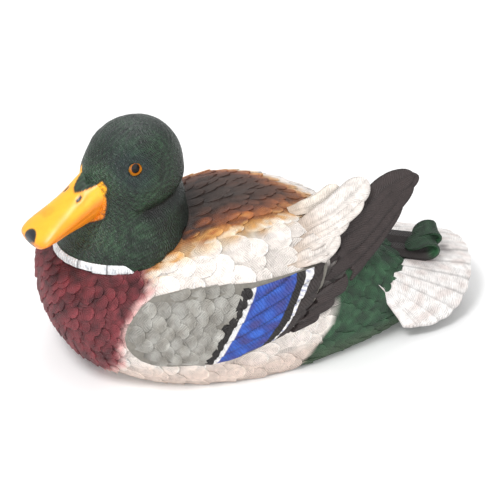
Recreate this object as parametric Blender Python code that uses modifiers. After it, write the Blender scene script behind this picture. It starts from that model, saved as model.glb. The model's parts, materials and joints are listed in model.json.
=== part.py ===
"""Floating mallard decoy, built as a bench assembly of castings, inserts and fittings.

Metres, +Z up. The duck faces -X, its left side is -Y and it rests on z = 0.
"""
import math

import bmesh
import bpy
from mathutils import Matrix, Vector
from mathutils.bvhtree import BVHTree

# ---------------------------------------------------------------- driving dimensions
GAP = 0.0003              # clearance between pieces that touch
SEAT = 0.0008             # clearance where faceted skins follow each other

# Hull sections from breast to rump. Each row is
# x, keel height, flat half-width, height of the beam, half-beam, back height
HULL_SECTIONS = [
    (-0.1660, 0.061, 0.000, 0.061, 0.000, 0.061),
    (-0.1640, 0.043, 0.000, 0.060, 0.025, 0.077),
    (-0.1560, 0.024, 0.000, 0.058, 0.046, 0.087),
    (-0.1420, 0.007, 0.008, 0.055, 0.062, 0.091),
    (-0.1220, 0.000, 0.028, 0.052, 0.074, 0.093),
    (-0.0950, 0.000, 0.058, 0.048, 0.081, 0.098),
    (-0.0600, 0.000, 0.075, 0.046, 0.084, 0.109),
    (-0.0200, 0.000, 0.080, 0.045, 0.085, 0.116),
    (0.0200, 0.000, 0.074, 0.044, 0.082, 0.108),
    (0.0600, 0.000, 0.061, 0.041, 0.073, 0.086),
    (0.0950, 0.000, 0.046, 0.035, 0.060, 0.062),
    (0.1220, 0.002, 0.029, 0.026, 0.044, 0.043),
    (0.1380, 0.008, 0.014, 0.020, 0.028, 0.033),
]
STEPS_PER_SECTION = 3     # rings between two rows
CROWN_FULLNESS = 2.25     # 2 is an ellipse, more is squarer
WALL = 0.006              # casting wall of the hull
LEDGE_IN = 0.004          # base edge to the plate's rebate
LEDGE_WIDTH = 0.011       # width of the ledge that the plate screws to
LEDGE_TOP = 0.013
BASE_MIDDLE = -0.0040     # the base plate's middle
BASE_HALF_LENGTH = 0.1160
BASE_POINTS = 56

# Head: rows of z, front reach, rear reach, half-width, measured from the neck axis
NECK_X = -0.092
HEAD_ROWS = [
    (0.066, 0.062, 0.046, 0.048),
    (0.085, 0.062, 0.046, 0.048),
    (0.100, 0.057, 0.043, 0.046),
    (0.112, 0.047, 0.040, 0.041),
    (0.125, 0.041, 0.039, 0.037),
    (0.138, 0.040, 0.040, 0.0345),
    (0.150, 0.040, 0.040, 0.033),
    (0.163, 0.036, 0.038, 0.030),
    (0.175, 0.028, 0.031, 0.025),
    (0.184, 0.017, 0.021, 0.016),
    (0.1885, 0.006, 0.009, 0.006),
]
HEAD_TURN = math.radians(20.0)
HEAD_TURN_FROM = 0.085    # the neck is straight below this height
HEAD_TURN_TO = 0.140      # and fully turned above this one

# Bill: rows of reach from the neck axis, centre height, half-width, half-height
BILL_ROWS = [
    (0.028, 0.146, 0.0150, 0.0140),
    (0.040, 0.1425, 0.0150, 0.0135),
    (0.052, 0.137, 0.0140, 0.0105),
    (0.064, 0.132, 0.0145, 0.0078),
    (0.076, 0.1275, 0.0152, 0.0058),
    (0.083, 0.124, 0.0140, 0.0046),
    (0.0880, 0.122, 0.0085, 0.0036),
]
EYE_RADIUS = 0.0050
EYE_REACH = 0.0130        # forward of the neck axis
EYE_HEIGHT = 0.1635
EYE_OUT = 0.0243          # off the head's centre plane

# Wings, as outlines in x and z seen from the side
WING_PROUD = 0.0045
WING_RINGS = 6
WING_OUTLINE = [
    (-0.1190, 0.0540), (-0.1120, 0.0680), (-0.0950, 0.0790), (-0.0600, 0.0830), (-0.0200, 0.0830),
    (0.0150, 0.0830), (0.0370, 0.0830), (0.0300, 0.0700), (0.0150, 0.0550), (0.0000, 0.0420),
    (-0.0180, 0.0340), (-0.0450, 0.0250), (-0.0750, 0.0255), (-0.1000, 0.0290), (-0.1140, 0.0400),
]
WING_PINS = [(-0.085, 0.055, 0.0770, 0.0840), (-0.020, 0.060, 0.0793, 0.0862)]

# Folded flight feathers: rows of x, distance off the centre plane, height of the spine, half-width
TERTIAL_ROWS = [
    (0.0360, 0.0420, 0.0900, 0.0110),
    (0.0500, 0.0350, 0.0985, 0.0165),
    (0.0680, 0.0240, 0.1070, 0.0150),
    (0.0820, 0.0150, 0.1130, 0.0095),
    (0.0905, 0.0090, 0.1165, 0.0020),
]
TERTIAL_THICK = 0.0040
PRIMARY_ROWS = [
    (0.0370, 0.0730, 0.0580, 0.0090),
    (0.0520, 0.0650, 0.0640, 0.0150),
    (0.0750, 0.0480, 0.0760, 0.0165),
    (0.1000, 0.0290, 0.0890, 0.0150),
    (0.1220, 0.0120, 0.0990, 0.0095),
    (0.1350, 0.0040, 0.1050, 0.0020),
]
PRIMARY_THICK = 0.0045
BLADE_LEAN = math.radians(42.0)
FAR_WING_DROP = 0.002     # the right wing lies under the left one
FAR_TIP_DROP = 0.014      # and its tips lower still

# Tail fan: a rounded spade, higher in the middle than at its edges
TAIL_ROOT_X = 0.106
TAIL_TIP_X = 0.1776
TAIL_HALF_WIDTH = 0.068
TAIL_WIDE_X = 0.114       # where the fan is widest
TAIL_ROOT_HALF = 0.030
TAIL_ROOT_Z = 0.044
TAIL_TIP_Z = 0.034
TAIL_DROOP = 0.028
TAIL_THICK = 0.0050

# Curled tail feathers: start, length along x, rise, radius of the hook, side of the centre plane
CURLS = {
    "tail_curl_front": ((0.101, -0.013, 0.0640), 0.037, -0.010, 0.0085, -1),
    "tail_curl_rear": ((0.101, 0.003, 0.0640), 0.043, -0.008, 0.0085, 1),
}
CURL_R = 0.0045

# Fittings
SCREW_HEAD_R = 0.0038
SCREW_SHANK_R = 0.0018
SCREW_LENGTH = 0.0110
PLATE_THICK = 0.0050
SEAL_THICK = 0.0010
PIN_R = 0.0015
BOLT_R = 0.0030
BOLT_X = -0.094
BOLT_UP = 0.0320          # length of the neck bolt above the hull's inner roof
BOLT_HEAD_R = 0.0060
INSERT_R = 0.0055
INSERT_LONG = 0.0180
BALLAST_SIZE = (0.080, 0.050, 0.009)
BALLAST_X = 0.015
CORE_FLOOR = 0.0200
ANCHOR_X = -0.068
RECESS_R = 0.0230
RECESS_DEEP = 0.0085
CUP_WALL = 0.0030
RING_R = 0.0090
RING_WIRE_R = 0.0013
DRAIN_X = 0.080
DRAIN_R = 0.0050


# ---------------------------------------------------------------- small helpers
def clear_scene():
    for old in list(bpy.data.objects):
        bpy.data.objects.remove(old, do_unlink=True)


def new_collection(name):
    group = bpy.data.collections.new(name)
    bpy.context.scene.collection.children.link(group)
    return group


def paint(name, colour, roughness, metallic=0.0):
    material = bpy.data.materials.new(name)
    material.use_nodes = True
    shader = material.node_tree.nodes["Principled BSDF"]
    shader.inputs["Base Color"].default_value = (*colour, 1.0)
    shader.inputs["Roughness"].default_value = roughness
    shader.inputs["Metallic"].default_value = metallic
    material.diffuse_color = (*colour, 1.0)
    return material


def add_mesh(name, verts, faces, material, group):
    mesh = bpy.data.meshes.new(name)
    mesh.from_pydata([tuple(v) for v in verts], [], faces)
    mesh.validate()
    piece = bpy.data.objects.new(name, mesh)
    group.objects.link(piece)
    if material:
        mesh.materials.append(material)
    return piece


def from_bmesh(name, bm, material, group, place=(0.0, 0.0, 0.0)):
    mesh = bpy.data.meshes.new(name)
    bm.to_mesh(mesh)
    bm.free()
    if material:
        mesh.materials.append(material)
    piece = bpy.data.objects.new(name, mesh)
    piece.location = place
    group.objects.link(piece)
    return piece


def cylinder(name, radius, z_low, z_high, centre, material, group, sides=32, turn=None):
    """A cylinder about its own Z, from z_low to z_high, then turned and placed."""
    bm = bmesh.new()
    bmesh.ops.create_cone(bm, cap_ends=True, segments=sides, radius1=radius, radius2=radius,
                          depth=z_high - z_low)
    bmesh.ops.translate(bm, verts=bm.verts, vec=(0.0, 0.0, (z_low + z_high) / 2))
    if turn:
        bmesh.ops.transform(bm, matrix=turn, verts=bm.verts)
    return from_bmesh(name, bm, material, group, centre)


def box(name, size, centre, material, group):
    bm = bmesh.new()
    bmesh.ops.create_cube(bm, size=1.0)
    bmesh.ops.scale(bm, vec=size, verts=bm.verts)
    return from_bmesh(name, bm, material, group, centre)


def turned(name, profile, centre, material, group, sides=28):
    """A solid of revolution about Z. The profile runs from the axis, down its outer side."""
    verts = [(r, 0.0, z) for r, z in profile]
    piece = add_mesh(name, verts, [], material, group)
    bm = bmesh.new()
    bm.from_mesh(piece.data)
    bm.verts.ensure_lookup_table()
    for first, second in zip(bm.verts[:-1], bm.verts[1:]):
        bm.edges.new((first, second))
    bm.to_mesh(piece.data)
    bm.free()
    screw = piece.modifiers.new("turn", "SCREW")
    screw.angle = math.tau
    screw.steps = sides
    screw.render_steps = sides
    screw.use_merge_vertices = True
    screw.merge_threshold = 0.00001
    piece.location = centre
    return piece


def boolean(piece, cutter, operation="DIFFERENCE"):
    step = piece.modifiers.new(operation.lower() + "_" + cutter.name, "BOOLEAN")
    step.operation = operation
    step.object = cutter
    step.solver = "EXACT"
    return step


def hide_cutter(piece):
    piece.hide_render = True
    piece.display_type = "WIRE"
    return piece


def curve_value(rows, position, column):
    """Catmull-Rom through one column of the rows, at a position counted in rows."""
    last = len(rows) - 1
    index = min(int(position), last - 1)
    t = position - index
    p1 = rows[index][column]
    p2 = rows[index + 1][column]
    p0 = rows[index - 1][column] if index > 0 else 2 * p1 - p2
    p3 = rows[index + 2][column] if index + 2 <= last else 2 * p2 - p1
    slope1 = (p2 - p0) / 2
    slope2 = (p3 - p1) / 2
    return ((2 * t**3 - 3 * t**2 + 1) * p1 + (t**3 - 2 * t**2 + t) * slope1
            + (-2 * t**3 + 3 * t**2) * p2 + (t**3 - t**2) * slope2)


def dense_rows(rows, steps):
    """The rows with smooth in-between rows added."""
    count = (len(rows) - 1) * steps + 1
    columns = range(len(rows[0]))
    return [tuple(curve_value(rows, i / steps, c) for c in columns) for i in range(count)]


def skin_rings(rings, cap_start=True, cap_end=True):
    """Faces for closed rings of equal length, listed one after another."""
    size = len(rings[0])
    verts = [v for ring in rings for v in ring]
    faces = []
    for r in range(len(rings) - 1):
        for i in range(size):
            j = (i + 1) % size
            a = r * size
            b = a + size
            faces.append((a + i, a + j, b + j, b + i))
    if cap_start:
        faces.append(tuple(reversed(range(size))))
    if cap_end:
        start = (len(rings) - 1) * size
        faces.append(tuple(range(start, start + size)))
    return verts, faces


def outward(piece, merge=0.00001):
    """Merge doubles and turn every face of a closed mesh outwards."""
    bm = bmesh.new()
    bm.from_mesh(piece.data)
    bmesh.ops.remove_doubles(bm, verts=bm.verts, dist=merge)
    bmesh.ops.dissolve_degenerate(bm, edges=bm.edges, dist=merge)
    bmesh.ops.recalc_face_normals(bm, faces=bm.faces)
    bm.to_mesh(piece.data)
    bm.free()
    return piece


def offset_mesh(piece, distance):
    """Move a mesh's skin along its normals."""
    bm = bmesh.new()
    bm.from_mesh(piece.data)
    bm.normal_update()
    shifts = [vert.normal * distance for vert in bm.verts]
    for vert, shift in zip(bm.verts, shifts):
        vert.co += shift
    bm.to_mesh(piece.data)
    bm.free()
    return piece


# ---------------------------------------------------------------- hull
def hull_ring(row, wall=0.0, flat_in=0.0, keel=None):
    """One closed section of the hull, looking along +X, starting at the keel."""
    x, z_keel, flat, z_beam, beam, z_back = row
    z_keel = max(z_keel, 0.0) + wall if keel is None else keel
    flat = max(flat - flat_in, 0.0)
    beam = max(beam - wall, 0.0)
    flat = min(flat, beam * 0.95)
    z_back = max(z_back - wall, z_keel)
    z_beam = min(max(z_beam, z_keel), z_back)
    half = [(0.0, z_keel), (flat / 2, z_keel)]
    for i in range(6):
        a = math.pi / 2 * i / 6
        half.append((flat + (beam - flat) * math.sin(a), z_keel + (z_beam - z_keel) * (1 - math.cos(a))))
    power = 2 / CROWN_FULLNESS
    for i in range(9):
        a = math.pi / 2 * i / 9
        half.append((beam * math.cos(a)**power, z_beam + (z_back - z_beam) * math.sin(a)**power))
    ring = [(x, -y, z) for y, z in half]
    ring.append((x, 0.0, z_back))
    ring += [(x, y, z) for y, z in reversed(half[1:])]
    return ring


def hull_solid(name, material, group):
    rows = dense_rows(HULL_SECTIONS, STEPS_PER_SECTION)
    rings = [hull_ring(row) for row in rows]
    verts, faces = skin_rings(rings)
    return outward(add_mesh(name, verts, faces, material, group))


def hull_cavity(name, group, wall, floor):
    """The inner shape of the casting above its ledge."""
    rows = [row for row in dense_rows(HULL_SECTIONS, 2) if -0.128 < row[0] < 0.118]
    rings = [hull_ring(row, wall, LEDGE_IN + LEDGE_WIDTH, floor) for row in rows]
    verts, faces = skin_rings(rings)
    return hide_cutter(outward(add_mesh(name, verts, faces, None, group)))


def row_at(x):
    """The hull section at x, between two dense rows."""
    rows = dense_rows(HULL_SECTIONS, STEPS_PER_SECTION)
    for first, second in zip(rows[:-1], rows[1:]):
        if first[0] <= x <= second[0]:
            t = (x - first[0]) / (second[0] - first[0])
            return tuple(p + (q - p) * t for p, q in zip(first, second))
    return rows[0] if x < rows[0][0] else rows[-1]


def base_outline(inset):
    """A rounded outline inside the hull's flat base, moved in by inset."""
    points = []
    for i in range(BASE_POINTS):
        a = math.tau * i / BASE_POINTS
        x = BASE_MIDDLE - (BASE_HALF_LENGTH - inset) * math.cos(a)
        half = row_at(x)[2] - inset
        points.append((x, math.copysign(half * abs(math.sin(a))**0.45, math.sin(a))))
    return points


def plate_prism(name, inset, z_low, z_high, material, group):
    loop = base_outline(inset)
    rings = [[(x, y, z) for x, y in loop] for z in (z_low, z_high)]
    verts, faces = skin_rings(rings)
    return outward(add_mesh(name, verts, faces, material, group))


def screw_places():
    """Six places around the ledge, in pairs."""
    middle = LEDGE_IN + LEDGE_WIDTH * 0.55
    loop = base_outline(middle)
    places = []
    for x in (-0.085, -0.005, 0.075):
        near = min(loop, key=lambda p: abs(p[0] - x))
        places.append((near[0], -abs(near[1])))
        places.append((near[0], abs(near[1])))
    return places


def countersunk_screw(name, x, y, z_face, length, material, group):
    """A flat-headed screw driven upwards, its head flush with z_face."""
    sink = z_face + GAP
    profile = [(0.0, sink + length), (SCREW_SHANK_R * 0.5, sink + length - 0.0005),
               (SCREW_SHANK_R, sink + length - 0.002), (SCREW_SHANK_R, sink + 0.0022),
               (SCREW_HEAD_R, sink), (0.0, sink)]
    screw = turned(name, profile, (x, y, 0.0), material, group, 16)
    slot = hide_cutter(box(name + "_slot", (SCREW_HEAD_R * 1.5, 0.0009, 0.0016), (x, y, sink), None,
                           bpy.data.collections["cutters"]))
    boolean(screw, slot)
    return screw


def screw_cutter(name, x, y, z_face, length, group):
    """The screw's hole: a countersink and a shank hole, one clearance larger all round."""
    profile = [(0.0, z_face + length + 3 * GAP), (SCREW_SHANK_R + GAP, z_face + length + 3 * GAP),
               (SCREW_SHANK_R + GAP, z_face + 0.0022 + GAP), (SCREW_HEAD_R + 2 * GAP, z_face),
               (SCREW_HEAD_R + 2 * GAP, z_face - 0.002), (0.0, z_face - 0.002)]
    return hide_cutter(turned(name, profile, (x, y, 0.0), None, group, 16))


# ---------------------------------------------------------------- head and bill
def turn_at(height):
    t = (height - HEAD_TURN_FROM) / (HEAD_TURN_TO - HEAD_TURN_FROM)
    t = min(max(t, 0.0), 1.0)
    return HEAD_TURN * t * t * (3 - 2 * t)


def to_head(reach, side, height, turn):
    """A point given forward, sideways and up from the neck axis, in the duck's frame."""
    x = NECK_X - reach * math.cos(turn) - side * math.sin(turn)
    y = -reach * math.sin(turn) + side * math.cos(turn)
    return (x, y, height)


def head_solid(name, material, group, grow=0.0):
    rings = []
    for z, front, rear, half in dense_rows(HEAD_ROWS, 2):
        turn = turn_at(z)
        ring = []
        for i in range(32):
            a = math.tau * i / 32
            reach = math.cos(a) * ((front if math.cos(a) > 0 else rear) + grow)
            ring.append(to_head(reach, math.sin(a) * (half + grow), z, turn))
        rings.append(ring)
    verts, faces = skin_rings(rings)
    return outward(add_mesh(name, verts, faces, material, group))


def bill_solid(name, material, group):
    rings = []
    for reach, z, half_width, half_height in dense_rows(BILL_ROWS, 3):
        ring = []
        for i in range(24):
            a = math.tau * i / 24
            side = half_width * math.copysign(abs(math.cos(a))**0.8, math.cos(a))
            up = half_height * math.copysign(abs(math.sin(a))**0.9, math.sin(a))
            ring.append(to_head(reach, side, z + up, HEAD_TURN))
        rings.append(ring)
    verts, faces = skin_rings(rings)
    return outward(add_mesh(name, verts, faces, material, group))


def ball(name, radius, centre, material, group, rings=10):
    bm = bmesh.new()
    bmesh.ops.create_uvsphere(bm, u_segments=16, v_segments=rings, radius=radius)
    return from_bmesh(name, bm, material, group, centre)


# ---------------------------------------------------------------- wings and tail
def hull_tree():
    """The hull's skin, for seating the pieces that lie on it."""
    rings = [hull_ring(row) for row in dense_rows(HULL_SECTIONS, STEPS_PER_SECTION)]
    verts, faces = skin_rings(rings)
    return BVHTree.FromPolygons([Vector(v) for v in verts], faces)


def outward_normal(place, normal):
    """A skin normal turned away from the hull's middle."""
    away = place - Vector((place.x, 0.0, 0.045))
    return normal if normal.dot(away) > 0 else -normal


def seated(tree, point, clearance):
    """The point, moved out along the skin where it is too near the hull or inside it."""
    place, normal, _, _ = tree.find_nearest(point)
    normal = outward_normal(place, normal)
    if (point - place).dot(normal) < clearance:
        return place + normal * clearance
    return point


def above(tree, point, clearance):
    """The point, lifted where it would be lower than the hull's back."""
    place, _, _, _ = tree.ray_cast(Vector((point.x, point.y, 0.5)), Vector((0.0, 0.0, -1.0)))
    if place is None:
        return point
    return Vector((point.x, point.y, max(point.z, place.z + clearance)))


def closed_sheet(name, lower, upper, material, group):
    """A solid between two equal grids of points, closed along all four borders."""
    rows = len(lower)
    wide = len(lower[0])
    verts = [v for row in lower for v in row] + [v for row in upper for v in row]
    layer = rows * wide
    faces = []
    for r in range(rows - 1):
        for c in range(wide - 1):
            a = r * wide + c
            faces.append((a, a + 1, a + wide + 1, a + wide))
            faces.append((layer + a, layer + a + wide, layer + a + wide + 1, layer + a + 1))
    border = list(range(wide)) + [r * wide + wide - 1 for r in range(1, rows)]
    border += [(rows - 1) * wide + c for c in range(wide - 2, -1, -1)]
    border += [r * wide for r in range(rows - 2, 0, -1)]
    for i, a in enumerate(border):
        b = border[(i + 1) % len(border)]
        faces.append((b, a, layer + a, layer + b))
    return outward(add_mesh(name, verts, faces, material, group))


def wing_panel(name, tree, side, material, group):
    """A layer on the hull's skin within the wing's outline, thinning to its rim."""
    middle = Vector((-0.035, 0.056))
    outline = []
    count = len(WING_OUTLINE)
    for i in range(count):
        loop = [(*WING_OUTLINE[(i + k) % count],) for k in (-1, 0, 1, 2)]
        outline.append(Vector((curve_value(loop, 1.0, 0), curve_value(loop, 1.0, 1))))
        outline.append(Vector((curve_value(loop, 1.5, 0), curve_value(loop, 1.5, 1))))
    lower = []
    upper = []
    for step in range(WING_RINGS + 1):
        scale = 0.02 + 0.98 * step / WING_RINGS
        low_ring = []
        high_ring = []
        for point in outline:
            x, z = middle + (point - middle) * scale
            place, normal, _, _ = tree.ray_cast(Vector((x, side * 0.2, z)), Vector((0.0, -side, 0.0)))
            normal = outward_normal(place, normal)
            proud = WING_PROUD if step < WING_RINGS else WING_PROUD * 0.45
            low_ring.append(place + normal * SEAT)
            high_ring.append(place + normal * proud)
        lower.append(low_ring)
        upper.append(high_ring)
    verts, faces = skin_rings(lower + upper[::-1])
    return outward(add_mesh(name, verts, faces, material, group))


def blade_solid(name, tree, rows, thickness, side, material, group):
    """A curved feather blade along its spine. It leans like a roof: outer edge down."""
    lower = []
    upper = []
    across_steps = 6
    for x, y, z, half in dense_rows(rows, 3):
        if side > 0:
            z -= FAR_WING_DROP + FAR_TIP_DROP * (x - rows[0][0]) / (rows[-1][0] - rows[0][0])
        low_row = []
        high_row = []
        for i in range(across_steps + 1):
            across = -1 + 2 * i / across_steps
            bow = 0.18 * half * (1 - across * across)
            reach = across * half
            point = Vector((x, side * (y + reach * math.cos(BLADE_LEAN) + bow * math.sin(BLADE_LEAN)),
                            z - reach * math.sin(BLADE_LEAN) + bow * math.cos(BLADE_LEAN)))
            point = seated(tree, point, SEAT)
            thick = thickness * (0.35 + 0.65 * math.sqrt(1 - across * across * 0.99))
            up = Vector((0.0, side * math.sin(BLADE_LEAN), math.cos(BLADE_LEAN)))
            low_row.append(point)
            high_row.append(point + up * thick)
        lower.append(low_row)
        upper.append(high_row)
    return closed_sheet(name, lower, upper, material, group)


def tail_point(along, across, up):
    """A point of the fan: along 0..1 from root to rim, across -1..1 over its width."""
    swing = across * math.pi / 2
    root = Vector((TAIL_ROOT_X, TAIL_ROOT_HALF * math.sin(swing)))
    rim = Vector((TAIL_WIDE_X + (TAIL_TIP_X - TAIL_WIDE_X) * math.cos(swing)**0.9,
                  TAIL_HALF_WIDTH * math.sin(swing)))
    x, y = root + (rim - root) * along
    z = TAIL_ROOT_Z + (TAIL_TIP_Z - TAIL_ROOT_Z) * along
    return (x, y, z - TAIL_DROOP * (y / TAIL_HALF_WIDTH)**2 + up)


def tail_solid(name, tree, material, group):
    columns = 18
    rows = 7
    lower = []
    upper = []
    for r in range(rows + 1):
        low_row = []
        high_row = []
        for c in range(columns + 1):
            across = -1 + 2 * c / columns
            along = r / rows
            edge = min(1.0, (1 - abs(across)) * 4 + 0.35) * min(1.0, (1 - along) * 3 + 0.35)
            point = above(tree, Vector(tail_point(along, across, 0.0)), 2 * SEAT)
            low_row.append(point)
            high_row.append(point + Vector((0.0, 0.0, TAIL_THICK * edge)))
        lower.append(low_row)
        upper.append(high_row)
    return closed_sheet(name, lower, upper, material, group)


def curl_solid(name, start, length, rise, turn_radius, side, radius, material, group):
    """A drake's curled tail feather: back, up and over in a forward hook."""
    points = []
    for i in range(5):
        t = i / 5
        points.append(Vector((start[0] + length * t, start[1], start[2] + rise * t * t)))
    centre = Vector((start[0] + length, start[1], start[2] + rise + turn_radius))
    for i in range(9):
        a = -math.pi / 2 + math.radians(215) * i / 8
        points.append(centre + Vector((math.cos(a), side * 0.15 * (a + math.pi / 2), math.sin(a))) * turn_radius)
    data = bpy.data.curves.new(name, "CURVE")
    data.dimensions = "3D"
    data.bevel_depth = radius
    data.bevel_resolution = 2
    data.use_fill_caps = True
    spline = data.splines.new("POLY")
    spline.points.add(len(points) - 1)
    for i, point in enumerate(points):
        t = i / (len(points) - 1)
        spline.points[i].co = (*point, 1.0)
        spline.points[i].radius = 0.55 + 0.45 * math.sin(math.pi * min(t * 1.15, 1.0))
    data.materials.append(material)
    piece = bpy.data.objects.new(name, data)
    group.objects.link(piece)
    return piece


# ---------------------------------------------------------------- assembly
def fit_base(parts, cutters, looks):
    """The hull shell, its base plate, the seal between them and six screws."""
    hull = hull_solid("hull_shell", looks["white"], parts)
    boolean(hull, hull_cavity("hull_cavity", cutters, WALL, LEDGE_TOP))
    boolean(hull, hide_cutter(plate_prism("hull_opening", LEDGE_IN + LEDGE_WIDTH + 0.0012, -0.003,
                                          LEDGE_TOP + 0.0043, None, cutters)))
    seal_low = PLATE_THICK + GAP
    boolean(hull, hide_cutter(plate_prism("plate_rebate", LEDGE_IN, -0.002,
                                          seal_low + SEAL_THICK + GAP, None, cutters)))
    plate = plate_prism("base_plate", LEDGE_IN + GAP, 0.0, PLATE_THICK, looks["board"], parts)
    seal = plate_prism("base_seal", LEDGE_IN + 0.0012, seal_low, seal_low + SEAL_THICK,
                       looks["rubber"], parts)
    boolean(seal, hide_cutter(plate_prism("seal_hole", LEDGE_IN + LEDGE_WIDTH, 0.0, 0.02, None, cutters)))
    for i, (x, y) in enumerate(screw_places(), start=1):
        countersunk_screw(f"base_screw_{i}", x, y, 0.0, SCREW_LENGTH, looks["steel"], parts)
        hole = screw_cutter(f"base_screw_hole_{i}", x, y, 0.0, SCREW_LENGTH, cutters)
        for piece in (hull, plate, seal):
            boolean(piece, hole)
    return hull, plate


def fit_core(parts, cutters, looks, roof):
    """The flotation block that fills the hull above the ballast."""
    core = hull_cavity("flotation_core", parts, WALL + 0.0010, CORE_FLOOR)
    core.hide_render = False
    core.display_type = "TEXTURED"
    core.data.materials.append(looks["foam"])
    well = cylinder("bolt_well", BOLT_HEAD_R + 0.003, roof - 0.013, roof + 0.02, (BOLT_X, 0.0, 0.0),
                    None, cutters, 24)
    boolean(core, hide_cutter(well))
    return core


def fit_head(parts, cutters, looks, hull, roof):
    """The head casting seated on the hull, its bolt and insert, the eyes and the bill."""
    head = head_solid("head_casting", looks["green"], parts)
    boolean(head, hide_cutter(offset_mesh(hull_solid("neck_seat", None, cutters), GAP)))
    place = (BOLT_X, 0.0, 0.0)
    head_low = roof - GAP - 0.0012 - GAP
    bolt = turned("neck_bolt", [(0.0, roof + BOLT_UP), (BOLT_R, roof + BOLT_UP),
                                (BOLT_R, head_low), (BOLT_HEAD_R, head_low),
                                (BOLT_HEAD_R, head_low - 0.004), (0.0, head_low - 0.004)],
                  place, looks["steel"], parts, 24)
    socket = cylinder("bolt_socket", 0.0028, head_low - 0.006, head_low - 0.0015, place, None, cutters, 6)
    boolean(bolt, hide_cutter(socket))
    turned("neck_washer", [(BOLT_R + GAP, roof - GAP), (0.0075, roof - GAP),
                           (0.0075, roof - GAP - 0.0012), (BOLT_R + GAP, roof - GAP - 0.0012),
                           (BOLT_R + GAP, roof - GAP)], place, looks["steel"], parts, 24)
    top = roof + BOLT_UP + 0.004
    turned("neck_insert", [(BOLT_R + GAP, top), (INSERT_R, top), (INSERT_R, top - INSERT_LONG),
                           (BOLT_R + GAP, top - INSERT_LONG), (BOLT_R + GAP, top)],
           place, looks["brass"], parts, 24)
    bore = cylinder("neck_bore", INSERT_R + GAP, roof - 0.004, top + GAP, place, None, cutters, 24)
    boolean(head, hide_cutter(bore))
    way = cylinder("neck_bolt_hole", BOLT_R + GAP, roof - 0.004, roof + 0.02, place, None, cutters, 24)
    boolean(hull, hide_cutter(way))
    spot_face = cylinder("neck_spot_face", 0.0082, roof - 0.012, roof, place, None, cutters, 24)
    boolean(hull, hide_cutter(spot_face))
    for side, word in ((-1, "left"), (1, "right")):
        centre = to_head(EYE_REACH, side * EYE_OUT, EYE_HEIGHT, HEAD_TURN)
        ball(f"eye_{word}", EYE_RADIUS, centre, looks["glass"], parts)
        socket = ball(f"eye_socket_{word}", EYE_RADIUS + GAP, centre, None, cutters)
        boolean(head, hide_cutter(socket))
    bill = bill_solid("bill", looks["bill"], parts)
    boolean(bill, hide_cutter(head_solid("bill_seat", None, cutters, GAP)))
    inner = Vector(to_head(0.022, 0.0, 0.1400, HEAD_TURN))
    outer = Vector(to_head(0.056, 0.0, 0.1365, HEAD_TURN))
    turn = Vector((0, 0, 1)).rotation_difference((outer - inner).normalized()).to_matrix().to_4x4()
    long = (outer - inner).length
    cylinder("bill_dowel", 0.0025, 0.0, long, inner, looks["wood"], parts, 16, turn)
    hole = cylinder("bill_dowel_hole", 0.0025 + GAP, -GAP, long + GAP, inner, None, cutters, 16, turn)
    boolean(head, hide_cutter(hole))
    boolean(bill, hole)


def fit_wings(parts, cutters, looks, hull, tree):
    """Each wing panel follows the hull's skin; its folded flight feathers are inserts."""
    skin = hide_cutter(offset_mesh(hull_solid("wing_seat", None, cutters), SEAT / 2))
    for side, word in ((-1, "left"), (1, "right")):
        wing = wing_panel(f"wing_{word}", tree, side, looks["grey"], parts)
        tertials = blade_solid(f"tertials_{word}", tree, TERTIAL_ROWS, TERTIAL_THICK, side, looks["white"], parts)
        primaries = blade_solid(f"primaries_{word}", tree, PRIMARY_ROWS, PRIMARY_THICK, side, looks["dark"], parts)
        for piece in (wing, tertials, primaries):
            boolean(piece, skin)
        for i, (x, z, inner, outer) in enumerate(WING_PINS, start=1):
            turn = Matrix.Rotation(-side * math.pi / 2, 4, "X")
            place = (x, 0.0, z)
            cylinder(f"wing_pin_{word}_{i}", PIN_R, inner, outer, place, looks["wood"], parts, 12, turn)
            hole = cylinder(f"wing_pin_hole_{word}_{i}", PIN_R + GAP, inner - GAP, outer + GAP, place,
                            None, cutters, 12, turn)
            boolean(hull, hide_cutter(hole))
            boolean(wing, hole)


def fit_tail(parts, cutters, looks, tree):
    """The tail fan and the two curled feathers above it."""
    tail = tail_solid("tail_fan", tree, looks["white"], parts)
    boolean(tail, hide_cutter(offset_mesh(hull_solid("tail_seat", None, cutters), SEAT)))
    for name, (start, length, rise, hook, side) in CURLS.items():
        curl_solid(name, start, length, rise, hook, side, CURL_R, looks["green"], parts)


def fit_ballast(parts, cutters, looks, plate):
    """An iron bar inside the plate, held by two screws from below."""
    low = PLATE_THICK + GAP
    middle = (BALLAST_X, 0.0, low + BALLAST_SIZE[2] / 2)
    weight = box("ballast_weight", BALLAST_SIZE, middle, looks["iron"], parts)
    for i, x in enumerate((BALLAST_X - 0.028, BALLAST_X + 0.028), start=1):
        countersunk_screw(f"ballast_screw_{i}", x, 0.0, 0.0, SCREW_LENGTH, looks["steel"], parts)
        hole = screw_cutter(f"ballast_screw_hole_{i}", x, 0.0, 0.0, SCREW_LENGTH, cutters)
        boolean(plate, hole)
        boolean(weight, hole)


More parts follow.
